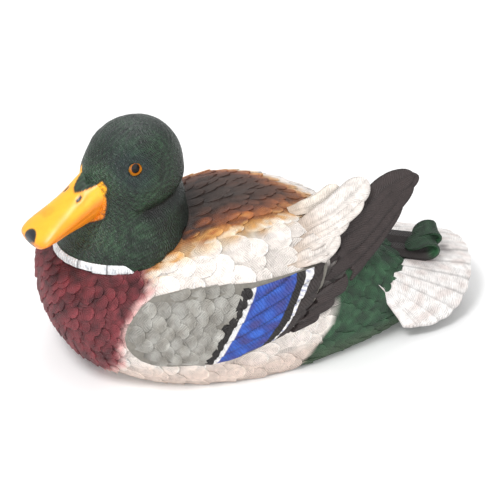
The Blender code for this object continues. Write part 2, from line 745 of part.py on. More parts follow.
def fit_anchor(parts, cutters, looks, plate):
    """A swivelling eye with a ring, in a round cup let into the plate."""
    place = (ANCHOR_X, 0.0, 0.0)
    roof = RECESS_DEEP
    top = roof + CUP_WALL
    cup = cylinder("anchor_cup_wall", RECESS_R + CUP_WALL, 0.001, top, place, None, cutters, 40)
    boolean(plate, hide_cutter(cup), "UNION")
    recess = cylinder("anchor_recess", RECESS_R, -0.002, roof, place, None, cutters, 40)
    boolean(plate, hide_cutter(recess))
    bush = [(0.0022 + GAP, top + 0.0010), (0.0038, top + 0.0010), (0.0038, roof + GAP),
            (0.0022 + GAP, roof + GAP), (0.0022 + GAP, top + 0.0010)]
    turned("anchor_bush", bush, place, looks["brass"], parts, 24)
    bore = cylinder("anchor_bore", 0.0038 + GAP, 0.0, top + 0.01, place, None, cutters, 24)
    boolean(plate, hide_cutter(bore))
    # The eye: a shouldered stud with a cross-drilled knob below it
    stud = [(0.0, top + 0.0070), (0.0022, top + 0.0070), (0.0022, roof), (0.0042, roof - GAP),
            (0.0042, roof - 0.0012), (0.0030, roof - 0.0016), (0.0030, roof - 0.0068),
            (0.0020, roof - 0.0076), (0.0, roof - 0.0076)]
    eye = turned("anchor_eye", stud, place, looks["steel"], parts, 24)
    across = Matrix.Rotation(math.pi / 2, 4, "X")
    hole = cylinder("anchor_eye_hole", RING_WIRE_R + 0.0006, -0.01, 0.01,
                    (ANCHOR_X, 0.0, roof - 0.0044), None, cutters, 16, across)
    boolean(eye, hide_cutter(hole))
    nut_low = top + 0.0010 + GAP
    turned("anchor_washer", [(0.0022 + GAP, nut_low + 0.0010), (0.0055, nut_low + 0.0010),
                             (0.0055, nut_low), (0.0022 + GAP, nut_low),
                             (0.0022 + GAP, nut_low + 0.0010)], place, looks["steel"], parts, 24)
    nut = cylinder("anchor_nut", 0.0044, nut_low + 0.0010 + GAP, nut_low + 0.0042, place,
                   looks["steel"], parts, 6)
    thread = cylinder("anchor_nut_thread", 0.0022 + GAP, 0.0, 0.03, place, None, cutters, 24)
    boolean(nut, hide_cutter(thread))
    bm = bmesh.new()
    steps = 28
    sides = 8
    wheel = [[bm.verts.new(((RING_R + RING_WIRE_R * math.cos(math.tau * j / sides)) * math.cos(math.tau * i / steps),
                            (RING_R + RING_WIRE_R * math.cos(math.tau * j / sides)) * math.sin(math.tau * i / steps),
                            RING_WIRE_R * math.sin(math.tau * j / sides)))
              for j in range(sides)] for i in range(steps)]
    for i in range(steps):
        for j in range(sides):
            bm.faces.new((wheel[i][j], wheel[(i + 1) % steps][j],
                          wheel[(i + 1) % steps][(j + 1) % sides], wheel[i][(j + 1) % sides]))
    bmesh.ops.recalc_face_normals(bm, faces=bm.faces)
    # The ring lies flat: its wire passes through the eye along y
    from_bmesh("anchor_ring", bm, looks["steel"], parts, (ANCHOR_X + RING_R, 0.0, roof - 0.0044))


def fit_drain(parts, cutters, looks, plate):
    """A rubber plug pulled down out of a brass bush in the plate."""
    place = (DRAIN_X, 0.0, 0.0)
    turned("drain_bush", [(DRAIN_R + GAP, PLATE_THICK + 0.002), (DRAIN_R + 0.0020, PLATE_THICK + 0.002),
                          (DRAIN_R + 0.0020, 0.0014), (DRAIN_R + 0.0032, 0.0014), (DRAIN_R + 0.0032, 0.0002),
                          (DRAIN_R + GAP, 0.0002), (DRAIN_R + GAP, PLATE_THICK + 0.002)],
           place, looks["brass"], parts, 28)
    seat = turned("drain_seat", [(0.0, 0.020), (DRAIN_R + 0.0020 + GAP, 0.020),
                                 (DRAIN_R + 0.0020 + GAP, 0.0014 + GAP), (DRAIN_R + 0.0032 + GAP, 0.0014 + GAP),
                                 (DRAIN_R + 0.0032 + GAP, -0.002), (0.0, -0.002)],
                  place, None, cutters, 28)
    boolean(plate, hide_cutter(seat))
    plug = turned("drain_plug", [(0.0, PLATE_THICK + 0.0035), (DRAIN_R - 0.0012, PLATE_THICK + 0.0035),
                                 (DRAIN_R, PLATE_THICK + 0.001), (DRAIN_R, 0.0004), (0.0, 0.0004)],
                  place, looks["rubber"], parts, 28)
    for side in (-1, 1):
        grip = box(f"drain_grip_{side}", (0.0070, 0.0016, 0.0044), (DRAIN_X, side * 0.0019, 0.0012), None, cutters)
        boolean(plug, hide_cutter(grip))


def build():
    clear_scene()
    parts = new_collection("mallard_decoy")
    cutters = new_collection("cutters")
    looks = {
        "white": paint("painted_resin_white", (0.88, 0.80, 0.74), 0.6),
        "green": paint("painted_resin_green", (0.03, 0.08, 0.035), 0.45),
        "bill": paint("bill_enamel", (1.0, 0.40, 0.01), 0.3),
        "grey": paint("painted_resin_grey", (0.32, 0.31, 0.28), 0.6),
        "dark": paint("painted_resin_brown", (0.035, 0.024, 0.022), 0.6),
        "glass": paint("amber_glass", (0.5, 0.18, 0.02), 0.05),
        "board": paint("marine_board", (0.20, 0.13, 0.07), 0.7),
        "steel": paint("stainless_steel", (0.55, 0.55, 0.56), 0.3, 1.0),
        "brass": paint("brass", (0.70, 0.50, 0.20), 0.3, 1.0),
        "iron": paint("cast_iron", (0.06, 0.06, 0.06), 0.7, 0.6),
        "rubber": paint("black_rubber", (0.02, 0.02, 0.02), 0.8),
        "foam": paint("closed_cell_foam", (0.80, 0.76, 0.60), 0.9),
        "wood": paint("birch_dowel", (0.55, 0.36, 0.18), 0.7),
    }
    roof = row_at(BOLT_X)[5] - WALL
    hull, plate = fit_base(parts, cutters, looks)
    fit_core(parts, cutters, looks, roof)
    fit_head(parts, cutters, looks, hull, roof)
    tree = hull_tree()
    fit_wings(parts, cutters, looks, hull, tree)
    fit_tail(parts, cutters, looks, tree)
    fit_ballast(parts, cutters, looks, plate)
    fit_anchor(parts, cutters, looks, plate)
    fit_drain(parts, cutters, looks, plate)


build()
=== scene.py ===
# %% [markdown]
# # A painted mallard drake decoy
# This lesson dresses a plain casting of a duck decoy in carved and painted feathers.
# The fixed frame gives the true sizes: a hull, a head, a bill, two wings and a tail.
# We read it first, because every feather is laid on one of its skins.

# %% Load the fixed frame
import json
import math

import bmesh
import bpy
import numpy as np
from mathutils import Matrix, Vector
from mathutils.bvhtree import BVHTree


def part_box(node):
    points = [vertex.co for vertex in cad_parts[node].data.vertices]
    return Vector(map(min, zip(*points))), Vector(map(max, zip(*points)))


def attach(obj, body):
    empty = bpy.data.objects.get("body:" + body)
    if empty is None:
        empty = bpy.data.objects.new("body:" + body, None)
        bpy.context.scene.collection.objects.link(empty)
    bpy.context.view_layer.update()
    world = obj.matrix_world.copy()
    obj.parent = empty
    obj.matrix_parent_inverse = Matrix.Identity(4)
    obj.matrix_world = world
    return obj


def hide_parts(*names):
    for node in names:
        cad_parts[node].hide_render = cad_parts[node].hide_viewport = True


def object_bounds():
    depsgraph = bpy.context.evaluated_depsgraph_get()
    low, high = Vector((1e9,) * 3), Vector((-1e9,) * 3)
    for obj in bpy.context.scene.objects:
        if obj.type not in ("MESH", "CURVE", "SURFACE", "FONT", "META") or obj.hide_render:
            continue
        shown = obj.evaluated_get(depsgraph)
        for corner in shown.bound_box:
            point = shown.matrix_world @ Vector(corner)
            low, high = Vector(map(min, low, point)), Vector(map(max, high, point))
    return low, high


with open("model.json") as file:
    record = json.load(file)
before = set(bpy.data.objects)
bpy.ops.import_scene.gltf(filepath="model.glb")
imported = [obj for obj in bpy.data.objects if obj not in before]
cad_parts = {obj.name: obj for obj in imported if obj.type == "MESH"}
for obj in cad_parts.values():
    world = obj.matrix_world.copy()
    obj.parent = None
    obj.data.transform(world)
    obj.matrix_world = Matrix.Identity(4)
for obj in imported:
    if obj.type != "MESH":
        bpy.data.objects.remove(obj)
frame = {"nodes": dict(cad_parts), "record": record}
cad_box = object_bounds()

nodes = frame["nodes"]
print("frame box", [[round(v, 4) for v in corner] for corner in cad_box])

# %% [markdown]
# ## Units and colours
# Sizes are written in millimetres, as a carver would give them, and turned to metres once.
# Paint is mixed from sRGB hex codes, the way a paint chart lists them.
# One function turns a code to the linear values that a renderer works with.

# %% Millimetres, paint codes and small helpers
MM = 0.001


def paint_code(code):
    """Linear red, green and blue of an sRGB hex code."""
    value = np.array([int(code[i:i + 2], 16) for i in (1, 3, 5)]) / 255
    return np.where(value <= 0.04045, value / 12.92, ((value + 0.055) / 1.055) ** 2.4)


def ease(value, low, high):
    """0 below low, 1 above high, and smooth between."""
    t = np.clip((np.asarray(value, float) - low) / (high - low), 0, 1)
    return t * t * (3 - 2 * t)


def mix(first, second, share):
    """A paint and a second paint or code, blended by a share for each point."""
    share = np.asarray(share, float)[..., None]
    second = paint_code(second) if isinstance(second, str) else second
    return first * (1 - share) + second * share


def ramp(value, stops):
    """Paint along a list of (place, code) stops."""
    places = [place for place, code in stops]
    colours = np.array([paint_code(code) for place, code in stops])
    return np.stack([np.interp(value, places, colours[:, c]) for c in range(3)], -1)


def mottle(points, size, seed):
    """Soft brush-like noise from -1 to 1, about size millimetres across."""
    draw = np.random.default_rng(seed)
    total = np.zeros(len(points))
    for _ in range(7):
        way = draw.normal(size=3)
        way *= 2 * math.pi / size / np.linalg.norm(way) * draw.uniform(0.6, 1.6)
        total += np.sin(points @ way + draw.uniform(0, 6.28))
    return np.clip(total / 3.2, -1, 1)


print("white reads", paint_code("#FFFFFF"))

# %% [markdown]
# ## The camera, floor and light
# The camera stands in front of the duck's left side and looks down at it.
# A long lens from 1.3 m keeps the bill and tail in true proportion.
# The floor and light are as plain as in a catalogue, so the paint does the talking.

# %% Camera
AZIMUTH = math.radians(-17)
ELEVATION = math.radians(33)
LOOK_AT = Vector((0, 0, 0.060))
DISTANCE = 1.3
LENS = 121.7
SHIFT_X = -0.006

back = Vector((math.sin(AZIMUTH) * math.cos(ELEVATION),
               -math.cos(AZIMUTH) * math.cos(ELEVATION),
               math.sin(ELEVATION)))
camera_data = bpy.data.cameras.new("camera")
camera_data.lens = LENS
camera_data.sensor_width = 36
camera_data.shift_x = SHIFT_X
camera = bpy.data.objects.new("camera", camera_data)
camera.location = LOOK_AT + back * DISTANCE
camera.rotation_euler = back.to_track_quat("Z", "Y").to_euler()
bpy.context.scene.collection.objects.link(camera)
bpy.context.scene.camera = camera
print("camera at", [round(v, 3) for v in camera.location])


# %% Nodes, floor and lights
def add_node(tree, kind, settings=None, **links):
    """Adds a node. A link is a socket to join, and anything else is a value to set."""
    node = tree.nodes.new(kind)
    for key, value in (settings or {}).items():
        setattr(node, key, value)
    for key, value in links.items():
        name = key.replace("_", " ")
        index = int(name[1:]) if name[0] == "i" and name[1:].isdigit() else None
        socket = node.inputs[index] if index is not None else node.inputs[name]
        if isinstance(value, bpy.types.NodeSocket):
            tree.links.new(value, socket)
        else:
            socket.default_value = value
    return node


def rgba(code):
    return (*paint_code(code), 1.0)


def new_material(name):
    """A new material, with its node tree and shader."""
    material = bpy.data.materials.new(name)
    material.use_nodes = True
    tree = material.node_tree
    shader = tree.nodes["Principled BSDF"]
    return material, tree, shader


def add_light(name, place, size, power):
    """A square lamp, size in metres and power in watts, aimed at the duck."""
    light = bpy.data.lights.new(name, "AREA")
    light.size = size
    light.energy = power
    obj = bpy.data.objects.new(name, light)
    obj.location = place
    obj.rotation_euler = (Vector(place) - LOOK_AT).to_track_quat("Z", "Y").to_euler()
    bpy.context.scene.collection.objects.link(obj)


floor_mesh = bpy.data.meshes.new("floor")
FLOOR_HALF = 6
corners = [(x * FLOOR_HALF, y * FLOOR_HALF, 0) for x, y in ((-1, -1), (1, -1), (1, 1), (-1, 1))]
floor_mesh.from_pydata(corners, [], [(0, 1, 2, 3)])
floor = bpy.data.objects.new("floor", floor_mesh)
floor.location.z = cad_box[0][2] - 0.2 * MM
bpy.context.scene.collection.objects.link(floor)
paper, tree, shader = new_material("matte studio paper")
shader.inputs["Base Color"].default_value = rgba("#FAFAFA")
shader.inputs["Roughness"].default_value = 0.9
floor_mesh.materials.append(paper)

world = bpy.data.worlds.new("studio")
world.use_nodes = True
sky = world.node_tree.nodes["Background"]
sky.inputs["Color"].default_value = (1, 1, 1, 1)
sky.inputs["Strength"].default_value = 0.74
bpy.context.scene.world = world
bpy.context.scene.view_settings.view_transform = "Standard"
add_light("key", (-0.7, -0.5, 1.5), 0.5, 15)
add_light("fill", (-0.3, -1.5, 0.5), 1.0, 7)
add_light("rim", (0.4, 1.1, 1.0), 0.8, 5)

# %% [markdown]
# ## Paint materials
# Real decoys are cast resin, carved or moulded with barbs and brushed with acrylics.
# Each piece carries its own painted colour in an attribute, mixed point by point.
# The materials add what paint and carving give: fine barbs, brush mottle and sheen.


# %% Carved and painted finishes
def painted_finish(name, roughness, barb_spacing, barb_depth, grain, coat=0.0, streak=0.30, waver=2.6):
    """Acrylic over carved barbs. Barbs slant from the shaft to the tip, in the feather's own
    measures: "ahead" in mm from its root and "beside" in mm from its shaft. barb_spacing is in
    mm and barb_depth in metres. streak is how dark the grooves are, and waver how crooked."""
    material, tree, shader = new_material(name)
    paint = add_node(tree, "ShaderNodeAttribute", {"attribute_name": "paint"})
    ahead = add_node(tree, "ShaderNodeAttribute", {"attribute_name": "ahead"})
    beside = add_node(tree, "ShaderNodeAttribute", {"attribute_name": "beside"})
    spot = add_node(tree, "ShaderNodeTexCoord")
    side = add_node(tree, "ShaderNodeMath", {"operation": "ABSOLUTE"}, i0=beside.outputs["Fac"])
    slant = add_node(tree, "ShaderNodeMath", {"operation": "MULTIPLY_ADD"},
                     i0=side.outputs[0], i1=-0.9, i2=ahead.outputs["Fac"])
    bend = add_node(tree, "ShaderNodeTexNoise", Vector=spot.outputs["Object"],
                    Scale=260.0, Detail=2.0)
    bent = add_node(tree, "ShaderNodeMath", {"operation": "MULTIPLY_ADD"},
                    i0=bend.outputs["Fac"], i1=waver, i2=slant.outputs[0])
    wave = add_node(tree, "ShaderNodeMath", {"operation": "MULTIPLY"},
                    i0=bent.outputs[0], i1=2 * math.pi / barb_spacing)
    barb = add_node(tree, "ShaderNodeMath", {"operation": "SINE"}, i0=wave.outputs[0])
    mottling = add_node(tree, "ShaderNodeTexNoise", Vector=spot.outputs["Object"],
                        Scale=grain, Detail=5.0, Roughness=0.65)
    shade = add_node(tree, "ShaderNodeMapRange", i0=mottling.outputs["Fac"],
                     i1=0.25, i2=0.75, i3=0.86, i4=1.14)
    patch = add_node(tree, "ShaderNodeTexNoise", Vector=spot.outputs["Object"],
                     Scale=190.0, Detail=2.0)
    depth = add_node(tree, "ShaderNodeMapRange", i0=patch.outputs["Fac"],
                     i1=0.40, i2=0.62, i3=0.0, i4=-streak)
    cut = add_node(tree, "ShaderNodeMapRange", i0=barb.outputs[0],
                   i1=0.7, i2=-0.9, i3=0.0, i4=1.0)
    groove = add_node(tree, "ShaderNodeMath", {"operation": "MULTIPLY_ADD"},
                      i0=cut.outputs[0], i1=depth.outputs[0], i2=1.0)
    both = add_node(tree, "ShaderNodeMath", {"operation": "MULTIPLY"},
                    i0=shade.outputs[0], i1=groove.outputs[0])
    toned = add_node(tree, "ShaderNodeVectorMath", {"operation": "SCALE"},
                     i0=paint.outputs["Color"], Scale=both.outputs[0])
    height = add_node(tree, "ShaderNodeMath", {"operation": "MULTIPLY_ADD"},
                      i0=mottling.outputs["Fac"], i1=1.2, i2=barb.outputs[0])
    bump = add_node(tree, "ShaderNodeBump", Strength=0.55, Distance=barb_depth,
                    Height=height.outputs[0])
    tree.links.new(toned.outputs[0], shader.inputs["Base Color"])
    tree.links.new(bump.outputs[0], shader.inputs["Normal"])
    shader.inputs["Roughness"].default_value = roughness
    shader.inputs["Coat Weight"].default_value = coat
    shader.inputs["Coat Roughness"].default_value = 0.35
    return material


# Acrylic brushed over barbs 1.9 mm apart, drawn coarse enough to show: dull, with soft lights.
feather_acrylic = painted_finish("acrylic on carved feathers", 0.60, 1.9, 0.0005, 420.0, 0.0, 0.34)
# Long flight feathers are carved with closer barbs, and read a little smoother.
flight_acrylic = painted_finish("acrylic on flight feathers", 0.55, 1.8, 0.0004, 300.0, 0.0, 0.30)
# The head is combed while wet: fine strokes with a satin sheen.
combed_acrylic = painted_finish("combed satin acrylic", 0.40, 1.8, 0.0005, 700.0, 0.0, 0.60, 6.0)
# The bill is smooth enamel: even colour and a soft gloss.
bill_enamel = painted_finish("brushed bill enamel", 0.38, 40.0, 0.00004, 60.0, 0.35, 0.03)
# Moulded glass eye: smooth, with a weak reflection that leaves the pupil black.
eye_glass = painted_finish("moulded glass eye", 0.12, 60.0, 0.00001, 30.0, 0.0, 0.0)
eye_shader = eye_glass.node_tree.nodes["Principled BSDF"]
eye_shader.inputs["Specular IOR Level"].default_value = 0.2
print("finishes", [m.name for m in bpy.data.materials])

# %% [markdown]
# ## Skins to lay feathers on
# A copy of each casting is merged into one closed skin, so we can ask where its surface is.
# The hull's copy is cut finer and kept, since it shows between the feathers.


# %% Merged copies of the castings
OUTSIDE = 0.2  # metres: rays start this far off, clear of the duck


def merged(*names):
    """One bmesh of some CAD nodes, with doubled corners joined."""
    bm = bmesh.new()
    for name in names:
        bm.from_mesh(nodes[name].data)
    bmesh.ops.remove_doubles(bm, verts=bm.verts, dist=1e-5)
    bmesh.ops.recalc_face_normals(bm, faces=bm.faces)
    return bm


hull = merged("hull_shell")
hull_tree = BVHTree.FromBMesh(hull)
head_tree = BVHTree.FromBMesh(merged("head_casting"))
wing_trees = {-1: BVHTree.FromBMesh(merged("wing_left")), 1: BVHTree.FromBMesh(merged("wing_right"))}
body_tree = BVHTree.FromBMesh(merged("hull_shell", "wing_left", "wing_right"))
print("hull faces", len(hull.faces))


def top_of_hull(x, y):
    """The height of the hull's skin at (x, y), or None. All in metres."""
    hit = hull_tree.ray_cast(Vector((x, y, OUTSIDE)), Vector((0, 0, -1)))[0]
    return None if hit is None else hit.z


def positions(mesh):
    co = np.zeros(len(mesh.vertices) * 3, np.float32)
    mesh.vertices.foreach_get("co", co)
    return co.reshape(-1, 3).astype(float)


def set_values(mesh, name, values, kind="FLOAT", field="value"):
    attribute = mesh.attributes.new(name, kind, "POINT")
    attribute.data.foreach_set(field, np.asarray(values, np.float32).ravel())


def get_values(mesh, name):
    values = np.zeros(len(mesh.vertices), np.float32)
    mesh.attributes[name].data.foreach_get("value", values)
    return values.astype(float)


def set_paint(mesh, colours):
    alpha = np.ones((len(colours), 1))
    set_values(mesh, "paint", np.hstack([np.clip(colours, 0.001, 1), alpha]), "FLOAT_COLOR", "color")


WELD = 1e-6  # metres: the eye's first ring is one point


def new_piece(name, verts, faces, paint, ahead, beside, weld=False):
    """A mesh object with its paint and feather measures, and its faces turned outward."""
    mesh = bpy.data.meshes.new(name)
    mesh.from_pydata(verts, [], faces)
    set_paint(mesh, np.asarray(paint))
    set_values(mesh, "ahead", ahead)
    set_values(mesh, "beside", beside)
    bm = bmesh.new()
    bm.from_mesh(mesh)
    if weld:
        bmesh.ops.remove_doubles(bm, verts=bm.verts, dist=WELD)
    bmesh.ops.recalc_face_normals(bm, faces=bm.faces)
    bm.to_mesh(mesh)
    return bpy.data.objects.new(name, mesh)


def tube_faces(rows, around):
    """The quads that join rows of points, each a closed ring."""
    faces = []
    for r in range(rows - 1):
        for c in range(around):
            n = (c + 1) % around
            faces.append((r * around + c, (r + 1) * around + c, (r + 1) * around + n, r * around + n))
    return faces


def finish_piece(obj, material, slot, *replaced):
    """Smooth shading, material and body for a finished piece. The slot argument is not used."""
    mesh = obj.data
    if not mesh.materials:
        mesh.materials.append(material)
    mesh.shade_smooth()
    mesh.set_sharp_from_angle(angle=math.radians(50))
    if obj.name not in bpy.context.scene.collection.objects:
        bpy.context.scene.collection.objects.link(obj)
    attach(obj, "decoy")
    if replaced:
        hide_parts(*replaced)
    print(obj.name, len(mesh.vertices), "points", len(mesh.polygons), "faces")


# %% [markdown]
# ## The paint plan of the body
# A drake is painted in zones: chestnut breast, white flanks, a brown mantle that
# fades through tan to white, and a green rump. One function holds the whole plan.
# It mixes a colour for any point of the body, so zones blend across feathers
# as an airbrush would leave them.

# %% Zone edges of the body, in millimetres
BREAST_Z = [0, 27, 47, 63, 75, 81, 86, 92]
BREAST_X = [-130, -124, -122, -119, -110, -101, -96, -99]
MANTLE_X = [-110, -95, -81, -54, -24, 11, 40, 55, 62]
MANTLE_SIDE = [58, 53, 48, 46, 44, 34, 20, 10, 0]
RUMP_SIDE = [0, 31, 58, 73, 85]
RUMP_X_TOP = [96, 86, 62, 42, 36]
RUMP_Z = [0, 15, 22, 35, 49, 66]
RUMP_X_SIDE = [10, 21, 29, 37, 42, 42]
TAIL_SIDE = [0, 23, 41, 50, 59, 63, 70]
TAIL_X = [131, 127, 115, 105, 91, 84, 70]


def mantle_depth(x, side):
    """Millimetres inside the mantle's lower edge; below 0 outside it."""
    return np.interp(x, MANTLE_X, MANTLE_SIDE) - side


def rump_edge(side, z):
    top = np.interp(side, RUMP_SIDE, RUMP_X_TOP)
    flank = np.interp(z, RUMP_Z, RUMP_X_SIDE)
    return top * ease(z, 55, 68) + flank * (1 - ease(z, 55, 68))


def tail_edge(side):
    """Where the green rump gives way to the white fan, at a distance off the centre plane."""
    return np.interp(side, TAIL_SIDE, TAIL_X)


def body_paint(points):
    """The paint of the hull and its feathers, for points in metres."""
    place = points / MM
    x, side, z = place[:, 0], np.abs(place[:, 1]), place[:, 2]
    streaked = place * np.array([0.25, 1, 1])
    blur = mottle(streaked, 9, 3)
    colour = np.tile(paint_code("#F2E9E2"), (len(x), 1))
    colour = mix(colour, "#D6B9A8", 0.55 * ease(34 - z + 5 * blur, 0, 22))
    depth = mantle_depth(x, side) + 3.0 * blur + 3.5 * mottle(streaked, 4, 7)
    depth = depth + 12 * ease(place[:, 1], 5, 25) * ease(-x, -30, 10)
    mantle = ramp(depth, [(-9, "#F2E9E2"), (-4, "#EDD9BE"), (1, "#D9A05A"), (7, "#A9612C"),
                          (15, "#74402A"), (27, "#472C20"), (40, "#382A24")])
    pale = ramp(depth, [(-4, "#F2E9E2"), (4, "#E0B47E"), (12, "#B06A34"), (26, "#6A3C24")])
    mantle = mix(mantle, pale, ease(x, -10, 60))
    near_neck = ease(-x - 40 + 8 * blur, 0, 24) * ease(depth, 3, 16)
    mantle = mix(mantle, "#2E2320", 0.75 * near_neck)
    colour = mix(colour, mantle, ease(z, 74, 84) * (depth > -9))
    breast = np.interp(z, BREAST_Z, BREAST_X) - x + 2.0 * blur
    chestnut = ramp(mottle(place, 14, 5), [(-1, "#4E1E24"), (0, "#6E282F"), (1, "#82343B")])
    low = (z < 93.5) | (x < -112)
    colour = mix(colour, "#E3A2A0", 0.8 * ease(breast, -7, -1) * low)
    colour = mix(colour, chestnut, ease(breast, -2.5, 3) * low)
    shadow = ease(x, 3, 9) * ease(z - 0.2 * x, 42, 46) * ease(side, 50, 56) * ease(-z, -84, -78)
    colour = mix(colour, "#2A2322", 0.95 * shadow)
    rear = x - rump_edge(side, z) + 1.5 * blur
    green = ramp(mottle(place, 11, 8), [(-1, "#1C3A25"), (0, "#244B30"), (1, "#35603F")])
    green = mix(green, "#4A5A44", 0.7 * ease(-z, -22, -8))
    return mix(colour, green, ease(rear, -0.6, 0.8))


# %% The hull's own skin
def hull_skin():
    bm = hull.copy()
    bmesh.ops.subdivide_edges(bm, edges=[e for e in bm.edges if e.calc_length() > 0.003],
                              cuts=1, use_grid_fill=True)
    mesh = bpy.data.meshes.new("body_skin")
    bm.to_mesh(mesh)
    points = positions(mesh)
    # Painted shade: the skin shows only in the gaps between feathers, so it takes the body's paint at
    # 0.7.
    set_paint(mesh, 0.7 * body_paint(points))
    set_values(mesh, "ahead", points[:, 0] / MM)
    set_values(mesh, "beside", points[:, 1] / MM)
    return bpy.data.objects.new("body_skin", mesh)


body_skin = hull_skin()

# %% [markdown]
# ## One feather, laid many times
# Small feathers repeat by the hundred, so Geometry Nodes lay them.
# The feather is a low shield of a few dozen faces: a crowned top, a rim and a sunken
# underside, one unit long. It stores a "rise" for each corner, and the node tree
# wraps it on the skin: each corner goes to the nearest skin point, lifted by its rise.

# %% The small feather
FEATHER_ROWS = [(0.0, 0.34), (0.36, 0.47), (0.68, 0.49), (0.86, 0.40), (0.95, 0.26), (1.0, 0.13)]
FEATHER_ACROSS = [-1, -0.88, 0, 0.88, 1]


def small_feather():
    verts, rise, ahead, beside = [], [], [], []
    for along, half in FEATHER_ROWS:
        for a in FEATHER_ACROSS:
            verts.append((along, a * half, 0))
            crown = 0.03 * (1 - a * a) + (0.07 if a == 0 else 0)
            rise.append(-0.35 + 1.35 * along ** 1.3 + crown)
            ahead.append(along)
            beside.append(a * half)
    across, rows = len(FEATHER_ACROSS), len(FEATHER_ROWS)
    faces = []
    for r in range(rows - 1):
        for c in range(across - 1):
            i = r * across + c
            faces.append((i, i + across, i + across + 1, i + 1))
    left = [r * across for r in range(rows)]
    tip = [(rows - 1) * across + c for c in range(1, across)]
    right = [r * across + across - 1 for r in range(rows - 2, -1, -1)]
    root = [c for c in range(across - 2, 0, -1)]
    rim = left + tip + right + root
    start = len(verts)
    for i in rim:
        verts.append((0.5 + (verts[i][0] - 0.5) * 1.035, verts[i][1] * 1.08, 0))
        rise.append(-0.8)
        ahead.append(ahead[i])
        beside.append(beside[i])
    for k in range(len(rim)):
        n = (k + 1) % len(rim)
        faces.append((rim[k], start + k, start + n, rim[n]))
    faces.append(tuple(start + k for k in range(len(rim))))
    mesh = bpy.data.meshes.new("small_feather")
    mesh.from_pydata(verts, [], faces)
    mesh.flip_normals()
    for name, values in (("rise", rise), ("ahead", ahead), ("beside", beside)):
        set_values(mesh, name, values)
    obj = bpy.data.objects.new("small_feather", mesh)
    bpy.context.scene.collection.objects.link(obj)
    return obj


feather = small_feather()
print("feather faces", len(feather.data.polygons))


# %% The node tree that lays a coat of feathers
def field(tree, name, kind="FLOAT"):
    return add_node(tree, "GeometryNodeInputNamedAttribute", {"data_type": kind}, Name=name).outputs[0]


def coat_tree():
    tree = bpy.data.node_groups.new("feather_coat", "GeometryNodeTree")
    sockets = (("Geometry", "Geometry"), ("Skin", "Object"), ("Feather", "Object"),
               ("Yaw", "Float"), ("Seed", "Int"), ("Finish", "Material"))
    for name, kind in sockets:
        tree.interface.new_socket(name, in_out="INPUT", socket_type="NodeSocket" + kind)
    tree.interface.new_socket("Geometry", in_out="OUTPUT", socket_type="NodeSocketGeometry")
    given = tree.nodes.new("NodeGroupInput").outputs
    out = tree.nodes.new("NodeGroupOutput")
    skin = add_node(tree, "GeometryNodeObjectInfo", Object=given["Skin"])
    shape = add_node(tree, "GeometryNodeObjectInfo", Object=given["Feather"])
    turn = add_node(tree, "FunctionNodeAxesToRotation", {"primary_axis": "Z", "secondary_axis": "X"},
                    i0=field(tree, "out", "FLOAT_VECTOR"), i1=field(tree, "aim", "FLOAT_VECTOR"))
    least = add_node(tree, "ShaderNodeMath", {"operation": "MULTIPLY"}, i0=given["Yaw"], i1=-1.0)
    yaw = add_node(tree, "FunctionNodeRandomValue", {"data_type": "FLOAT"},
                   i2=least.outputs[0], i3=given["Yaw"], Seed=given["Seed"])
    about = add_node(tree, "ShaderNodeCombineXYZ", Z=yaw.outputs[1])
    swing = add_node(tree, "FunctionNodeEulerToRotation", i0=about.outputs[0])
    turned = add_node(tree, "FunctionNodeRotateRotation", {"rotation_space": "LOCAL"},
                      i0=turn.outputs[0], i1=swing.outputs[0])
    scale = add_node(tree, "ShaderNodeCombineXYZ", X=field(tree, "length"), Y=field(tree, "width"), Z=1.0)
    laid = add_node(tree, "GeometryNodeInstanceOnPoints", Points=given["Geometry"],
                    Instance=shape.outputs["Geometry"], Rotation=turned.outputs[0],
                    Scale=scale.outputs[0])
    real = add_node(tree, "GeometryNodeRealizeInstances", Geometry=laid.outputs[0])
    near = add_node(tree, "GeometryNodeProximity", {"target_element": "FACES"},
                    i0=skin.outputs["Geometry"])
    facing = add_node(tree, "GeometryNodeFieldOnDomain", {"data_type": "FLOAT_VECTOR", "domain": "POINT"},
                      i0=add_node(tree, "GeometryNodeInputNormal").outputs[0])
    away = add_node(tree, "GeometryNodeSampleNearestSurface", {"data_type": "FLOAT_VECTOR"},
                    i0=skin.outputs["Geometry"], i1=facing.outputs[0])
    height = add_node(tree, "ShaderNodeMath", {"operation": "MULTIPLY"},
                      i0=field(tree, "rise"), i1=field(tree, "lift"))
    push = add_node(tree, "ShaderNodeVectorMath", {"operation": "SCALE"},
                    i0=away.outputs[0], Scale=height.outputs[0])
    spot = add_node(tree, "ShaderNodeVectorMath", {"operation": "ADD"},
                    i0=near.outputs["Position"], i1=push.outputs[0])
    wrapped = add_node(tree, "GeometryNodeSetPosition", Geometry=real.outputs[0],
                       Position=spot.outputs[0])
    done = add_node(tree, "GeometryNodeSetMaterial", Geometry=wrapped.outputs[0],
                    Material=given["Finish"])
    tree.links.new(done.outputs[0], out.inputs[0])
    return tree


coat = coat_tree()
LOWEST = 0.4 * MM  # no feather reaches below the flat base
ROW_KEYS = ("place", "aim", "out", "length", "width", "lift", "tone", "kind")


